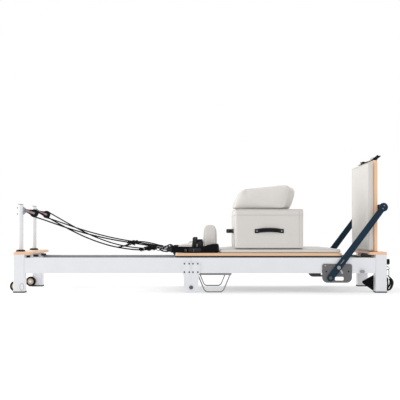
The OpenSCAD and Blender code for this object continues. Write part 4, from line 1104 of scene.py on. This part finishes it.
class REFORMER_OT_hand_loops(ReformerOperator):
    """Make the padded hand loops with their webbing"""
    bl_idname = "reformer.hand_loops"
    bl_label = "Hand loops"

    def execute(self, context):
        straps = context.scene.reformer_straps
        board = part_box("carriage_board")
        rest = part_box("front_shoulder_rest")
        pad_edge = rest[1].x + 0.012
        z0 = board[1].z
        head = board[0].x - 0.030
        for side, name in ((NEAR, "front"), (FAR, "rear")):
            padded, outer, trim = self.lying(side, head, pad_edge, z0, straps)
            for x, width, top, lean in ((-0.0365, 0.031, 0.100, 0.004), (0.0025, 0.038, 0.0845, -0.004)):
                centre = np.array([x, -0.190, z0 + 0.001 + top / 2])
                stand = racetrack(top - 0.009, 0.088, 1.0)[:, [2, 1, 0]]
                stand[:, 0] += lean * np.sin(stand[:, 2] * 30)
                padded.append(swept(mirrored(centre + stand, side), band_profile(width, 0.007), ALONG, True))
                cover = centre + stand * (1, 1.07, 1.05)
                outer.append(swept(mirrored(cover, side), band_profile(width * 0.7, 0.0022), ALONG, True))
            outer += self.tails(side, head, z0, straps)
            for label, parts, material in (("padding", padded, "foam"), ("webbing", outer, "webbing"),
                                           ("buckles", trim, "zinc")):
                piece = joined_piece(f"{name}_hand_loop_{label}", parts, finish(material))
                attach(piece, "rope_ends")
                if label == "padding":
                    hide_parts("hand_loops")
        return {"FINISHED"}

    def lying(self, side, head, pad_edge, z0, straps):
        """The loop that lies on edge along the board. It stands taller to the foot end: above the board each
        height is multiplied by 1 + 0.45 s, where s goes smoothly from 0 to 1 along the last 0.12 m."""
        middle = np.array([(head + pad_edge) / 2, -0.273, z0 + 0.0215])
        line = racetrack(pad_edge - head - 0.010, 0.036, 0.5) + middle
        line[:, 1] += 0.0016 * np.sin(line[:, 0] * 70)
        line[:, 2] += 0.0012 * np.sin(line[:, 0] * 31)
        cover = line + 0.005 * unit((line - middle) * (1, 1, 0))
        parts = []
        for path, profile in ((line, band_profile(0.040, straps.loop_thick)),
                              (cover, band_profile(straps.web_width, 0.003))):
            points, faces, uv = swept(path, profile, UP, True)
            way = np.clip((points[..., 0] - (pad_edge - 0.12)) / 0.10, 0, 1)
            points[..., 2] = z0 + (points[..., 2] - z0) * (1 + 0.45 * way ** 2 * (3 - 2 * way))
            if side == FAR:
                faces = [f[::-1] for f in faces]
            parts.append((points * (1, side, 1), faces, uv))
        trim = []
        for x in (-0.096, -0.088, -0.040):
            bar = np.array([(x, -0.2985, z0 + 0.009), (x, -0.2985, z0 + 0.027)])
            trim.append(swept(mirrored(bar, side), ring_profile(0.0011, 8), level=ALONG))
        return [parts[0]], [parts[1]], trim

    def tails(self, side, head, z0, straps):
        """Webbing from the rope's clip to the lying loop, a cross strap over to the standing loops, and the loose
        end of a standing loop."""
        lines = [([(-0.214, -0.247, 0.280), (-0.204, -0.254, 0.278), (head + 0.010, -0.266, z0 + 0.021),
                   (head + 0.050, -0.270, z0 + 0.021)], UP, 0.032),
                 ([(-0.262, -0.235, 0.279), (-0.244, -0.242, 0.284), (-0.226, -0.250, 0.295), (-0.210, -0.258, 0.299),
                   (-0.194, -0.262, 0.290)], UP, 0.009),
                 ([(-0.266, -0.236, 0.276), (-0.240, -0.246, 0.266), (-0.212, -0.257, 0.264), (-0.198, -0.262, 0.270)],
                  UP, 0.009),
                 ([(head + 0.085, -0.252, z0 + 0.012), (head + 0.110, -0.235, z0 + 0.006),
                   (-0.060, -0.215, z0 + 0.005), (-0.040, -0.200, z0 + 0.006)], ACROSS, straps.web_width),
                 ([(-0.048, -0.236, z0 + 0.067), (-0.062, -0.238, z0 + 0.067), (-0.075, -0.239, z0 + 0.064)],
                  ACROSS, 0.020)]
        return [swept(mirrored(smooth_path(line, 8), side), band_profile(width, straps.web_thick), level)
                for line, level, width in lines]


class REFORMER_OT_spare_strap(ReformerOperator):
    """Make the spare strap that hangs at the foot end"""
    bl_idname = "reformer.spare_strap"
    bl_label = "Spare strap"

    def execute(self, context):
        low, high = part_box("spare_loop")
        hook_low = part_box("snap_hook")
        x, y = (hook_low[0].x + hook_low[1].x) / 2, (hook_low[0].y + hook_low[1].y) / 2
        top = hook_low[0].z + 0.004
        hang = smooth_path([(x + 0.004, y, top), (x + 0.022, y, top - 0.022), (x + 0.026, y + 0.004, 0.055),
                            (x + 0.018, y + 0.010, 0.022), (x + 0.004, y + 0.012, 0.020), (x + 0.002, y + 0.004, 0.060),
                            (x - 0.002, y, top - 0.012)], 8)
        outside = smooth_path([(x + 0.010, y - 0.006, 0.100), (x + 0.030, y - 0.004, 0.076), (x + 0.032, y, 0.052),
                               (x + 0.020, y + 0.004, 0.024), (x + 0.002, y + 0.010, 0.014), (x - 0.020, y + 0.040, 0.010)], 8)
        parts = [swept(hang, band_profile(0.036, 0.004), level=ACROSS),
                 swept(outside, band_profile(0.022, 0.009), level=ACROSS),
                 swept(outside[6:34] + (-0.014, 0.012, 0.004), band_profile(0.022, 0.007), level=ACROSS)]
        padded = [self.folded_pad(low.x, x - 0.008, low.z + 0.002, high.z, y + over) for over in (0.040, 0.058)]
        webbing = joined_piece("spare_strap_webbing", parts, finish("webbing"))
        padding = joined_piece("spare_strap_padding", padded, finish("foam"))
        for piece in (webbing, padding):
            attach(piece, "foot_frame")
        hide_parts("spare_loop")
        return {"FINISHED"}

    def folded_pad(self, x0, x1, z0, z1, y):
        """A flat pad folded to a triangle: with u from 0 at its point to 1 at its middle, the height is
        multiplied by 0.12 + 0.88 u."""
        points, faces, grid = block_shell((x0, y - 0.008, z0), (x1, y + 0.008, z1), (0.012, 0.006, 0.012),
                                          (0.012, 0.006, 0.012), 0.006)
        u = np.clip((points[:, 0] - x0) / (x1 - x0) / 0.5, 0, 1)
        point_z = z0 + 0.55 * (z1 - z0)
        centre = point_z + ((z0 + z1) / 2 - point_z) * u
        points[:, 2] = centre + (points[:, 2] - (z0 + z1) / 2) * (0.12 + 0.88 * u)
        return points, faces, None


class REFORMER_OT_springs(ReformerOperator):
    """Make the five coil springs"""
    bl_idname = "reformer.springs"
    bl_label = "Springs"

    def execute(self, context):
        straps = context.scene.reformer_straps
        low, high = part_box("springs")
        z, radius = (low.z + high.z) / 2, (high.z - low.z) / 2 - straps.coil_wire / 2
        places = np.linspace(low.y + (high.z - low.z) / 2, high.y - (high.z - low.z) / 2, 5)
        wire = ring_profile(straps.coil_wire / 2, 6)
        parts = [swept(self.coil(low.x, high.x, y, z, radius, straps.coil_turns), wire, ALONG) for y in places]
        coils = joined_piece("spring_coils", parts, finish("spring wire"))
        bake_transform(coils)
        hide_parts("springs")
        return {"FINISHED"}

    def coil(self, x0, x1, y, z, radius, turns):
        """A helix about X with straight eyes at both ends: the radius falls to nothing over the last 14 mm."""
        t = np.linspace(0, 1, turns * 14)
        x = x0 + (x1 - x0) * t
        taper = np.clip(np.minimum(x - x0, x1 - x) / 0.014, 0, 1) ** 0.5
        angle = 2 * math.pi * turns * t
        return np.stack([x, y + radius * taper * np.cos(angle), z + radius * taper * np.sin(angle)], axis=1)


class REFORMER_OT_pulleys(ReformerOperator):
    """Make the pulleys' side straps and rivets"""
    bl_idname = "reformer.pulleys"
    bl_label = "Pulleys"

    def execute(self, context):
        middle = sheave_middle()
        low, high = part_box("pulley_blocks")
        tilt = math.radians(19.0)
        to_eye = np.array([-math.cos(tilt), 0.0, math.sin(tilt)])
        half = 0.0101
        straps, rivets, red = [], [], []
        for side in (NEAR, FAR):
            for face in (-1, 1):
                start = middle + (0, face * half, 0) - 0.006 * to_eye
                end = middle + (0, face * half, 0) + 0.058 * to_eye
                path = np.linspace(start, end, 14)
                straps.append(swept(mirrored(path, side), band_profile(0.013, 0.0016), level=(0, 0, 1)))
                out = (0, face * side, 0)
                at = mirrored(middle + (0, face * (half + 0.0006), 0), side)
                rivets.append(turned(domed(0.0062, 0.0022), at, out, 20))
                red.append(turned(domed(0.0052, 0.0018), at + mirrored(0.027 * to_eye, side), out, 20))
                rivets.append(turned(domed(0.0048, 0.0018), at + mirrored(0.056 * to_eye, side), out, 20))
        for name, parts, material, slot in (("pulley_straps", straps, "zinc", "steel_hardware"),
                                            ("pulley_rivets", rivets, "zinc", "steel_hardware"),
                                            ("pulley_marks", red, "red rivet", "black_plastic")):
            piece = joined_piece(name, parts, finish(material))
            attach(piece, "head_frame")
        return {"FINISHED"}


class REFORMER_OT_fittings(ReformerOperator):
    """Make the washers, caps, hubs and screw heads"""
    bl_idname = "reformer.fittings"
    bl_label = "Small fittings"

    def execute(self, context):
        self.wheel_hubs()
        self.arm_caps()
        self.platform_screws()
        self.leg_bosses()
        self.edge_strip()
        return {"FINISHED"}

    def put(self, name, parts, material, body, slot):
        """One piece from several parts, riding on a body."""
        piece = joined_piece(name, parts, finish(material))
        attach(piece, body)

    def wheel_hubs(self):
        """A dished hub on both faces of each transport wheel."""
        for name, body in (("front_transport_wheel", "front_wheel"), ("rear_transport_wheel", "rear_wheel")):
            low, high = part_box(name)
            centre, r = np.array((low + high) / 2), (high.x - low.x) / 2
            parts = []
            for face in (-1, 1):
                at = centre + (0, face * ((high.y - low.y) / 2 - 0.0002), 0)
                parts.append(turned([(0.0085, 0.0), (r * 0.60, 0.0), (r * 0.60, 0.0012), (r * 0.50, 0.0018),
                                     (r * 0.34, 0.0008), (0.0105, 0.0014), (0.0085, 0.0014)], at, (0, face, 0), 48))
            self.put(name + "_hub", parts, "hub", body, "black_plastic")

    def arm_caps(self):
        """A dished disc on each end of the crossbar, with two small screws in it."""
        low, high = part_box("footbar_bar")
        arm_low, arm_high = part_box("footbar_arms")
        x, z = (low.x + high.x) / 2, (low.z + high.z) / 2
        discs, screws = [], []
        for side, y in ((-1, arm_low.y), (1, arm_high.y)):
            discs.append(turned([(POLE, 0.0), (0.024, 0.0), (0.024, 0.0008), (0.022, 0.0014), (0.019, 0.0006),
                                 (POLE, 0.0006)], (x, y, z), (0, side, 0), 48))
            for dx, dz in ((0.004, 0.010), (-0.004, -0.009)):
                at = (x + dx, y + side * 0.0005, z + dz)
                screws.append(turned(domed(0.0042, 0.0020, 0.0016), at, (0, side, 0), 20))
        self.put("crossbar_discs", discs, "navy coat", "footbar", "navy_paint")
        self.put("crossbar_screws", screws, "zinc", "footbar", "steel_hardware")

    def platform_screws(self):
        """Countersunk screw heads on both end platforms."""
        for name, body, sign in (("foot_platform", "foot_frame", 1), ("head_platform", "head_frame", -1)):
            low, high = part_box(name)
            outer = high.x if sign > 0 else low.x
            heads = [turned(domed(0.0055, 0.0010, 0.0022), (outer - sign * dx, y, high.z - 0.0002), UP, 20)
                     for dx in (0.024, 0.060) for y in (low.y + 0.030, high.y - 0.030)]
            self.put(name + "_screw_heads", heads, "zinc", body, "steel_hardware")

    def edge_strip(self):
        """A black strip round the carriage board's lower edge, which also darkens the gap between the board and the
        rails below it: partly painted shadow.
        """
        low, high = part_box("carriage_board")
        line = rounded_outline(low.x, high.x, low.y, high.y, low.z - 0.0008, 0.020)
        # partly painted shadow: the 10 mm black band also covers the gap under the board, where shade falls
        strip = swept(line, band_profile(0.0100, 0.0016), UP, True)
        self.put("board_edge_strip", [strip], "rubber", "carriage", "rubber")

    def leg_bosses(self):
        """A rim round the oval boss on each head leg."""
        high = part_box("head_legs")[1]
        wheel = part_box("front_transport_wheel")
        z = (wheel[0].z + wheel[1].z) / 2 + 0.001
        x = high.x - 0.016
        for side, name in ((NEAR, "front"), (FAR, "rear")):
            t = np.linspace(0, 2 * math.pi, 48, endpoint=False)
            line = np.stack([x + 0.0125 * np.cos(t), -0.3278 + 0 * t, z + 0.0225 * np.sin(t)], axis=1)
            self.put(name + "_boss_rim", [swept(mirrored(line, side), ring_profile(0.0016, 8), ACROSS, True)],
                     "hub", "head_frame", "black_plastic")


# ---------------------------------------------------------------- panel and run

OPERATORS = (REFORMER_OT_stage, REFORMER_OT_ropes, REFORMER_OT_finishes, REFORMER_OT_carriage_pad,
             REFORMER_OT_headrest, REFORMER_OT_shoulder_rests, REFORMER_OT_sitting_box, REFORMER_OT_cushion,
             REFORMER_OT_jump_board, REFORMER_OT_hand_loops, REFORMER_OT_spare_strap, REFORMER_OT_springs,
             REFORMER_OT_pulleys, REFORMER_OT_fittings)


class REFORMER_PT_looks(Panel):
    """The machine's pieces and settings in the sidebar"""
    bl_label = "Pilates Reformer"
    bl_idname = "REFORMER_PT_looks"
    bl_space_type = "VIEW_3D"
    bl_region_type = "UI"
    bl_category = "Reformer"

    def draw(self, context):
        for operator in OPERATORS:
            self.layout.operator(operator.bl_idname)
        for name in SETTINGS:
            settings = getattr(context.scene, name)
            box = self.layout.box()
            for key in settings.bl_rna.properties.keys():
                if key not in {"rna_type", "name"}:
                    box.prop(settings, key)


SETTINGS = {"reformer_finishes": ReformerFinishes, "reformer_pads": ReformerPads,
            "reformer_straps": ReformerStraps, "reformer_stage": ReformerStage}
CLASSES = (*SETTINGS.values(), *OPERATORS, REFORMER_PT_looks)


def register():
    for each in CLASSES:
        bpy.utils.register_class(each)
    for name, settings in SETTINGS.items():
        setattr(bpy.types.Scene, name, PointerProperty(type=settings))


def unregister():
    for name in SETTINGS:
        delattr(bpy.types.Scene, name)
    for each in reversed(CLASSES):
        bpy.utils.unregister_class(each)


def main():
    register()
    for operator in OPERATORS:
        group_name, call = operator.bl_idname.split(".")
        getattr(getattr(bpy.ops, group_name), call)()


if __name__ == "__main__":
    main()
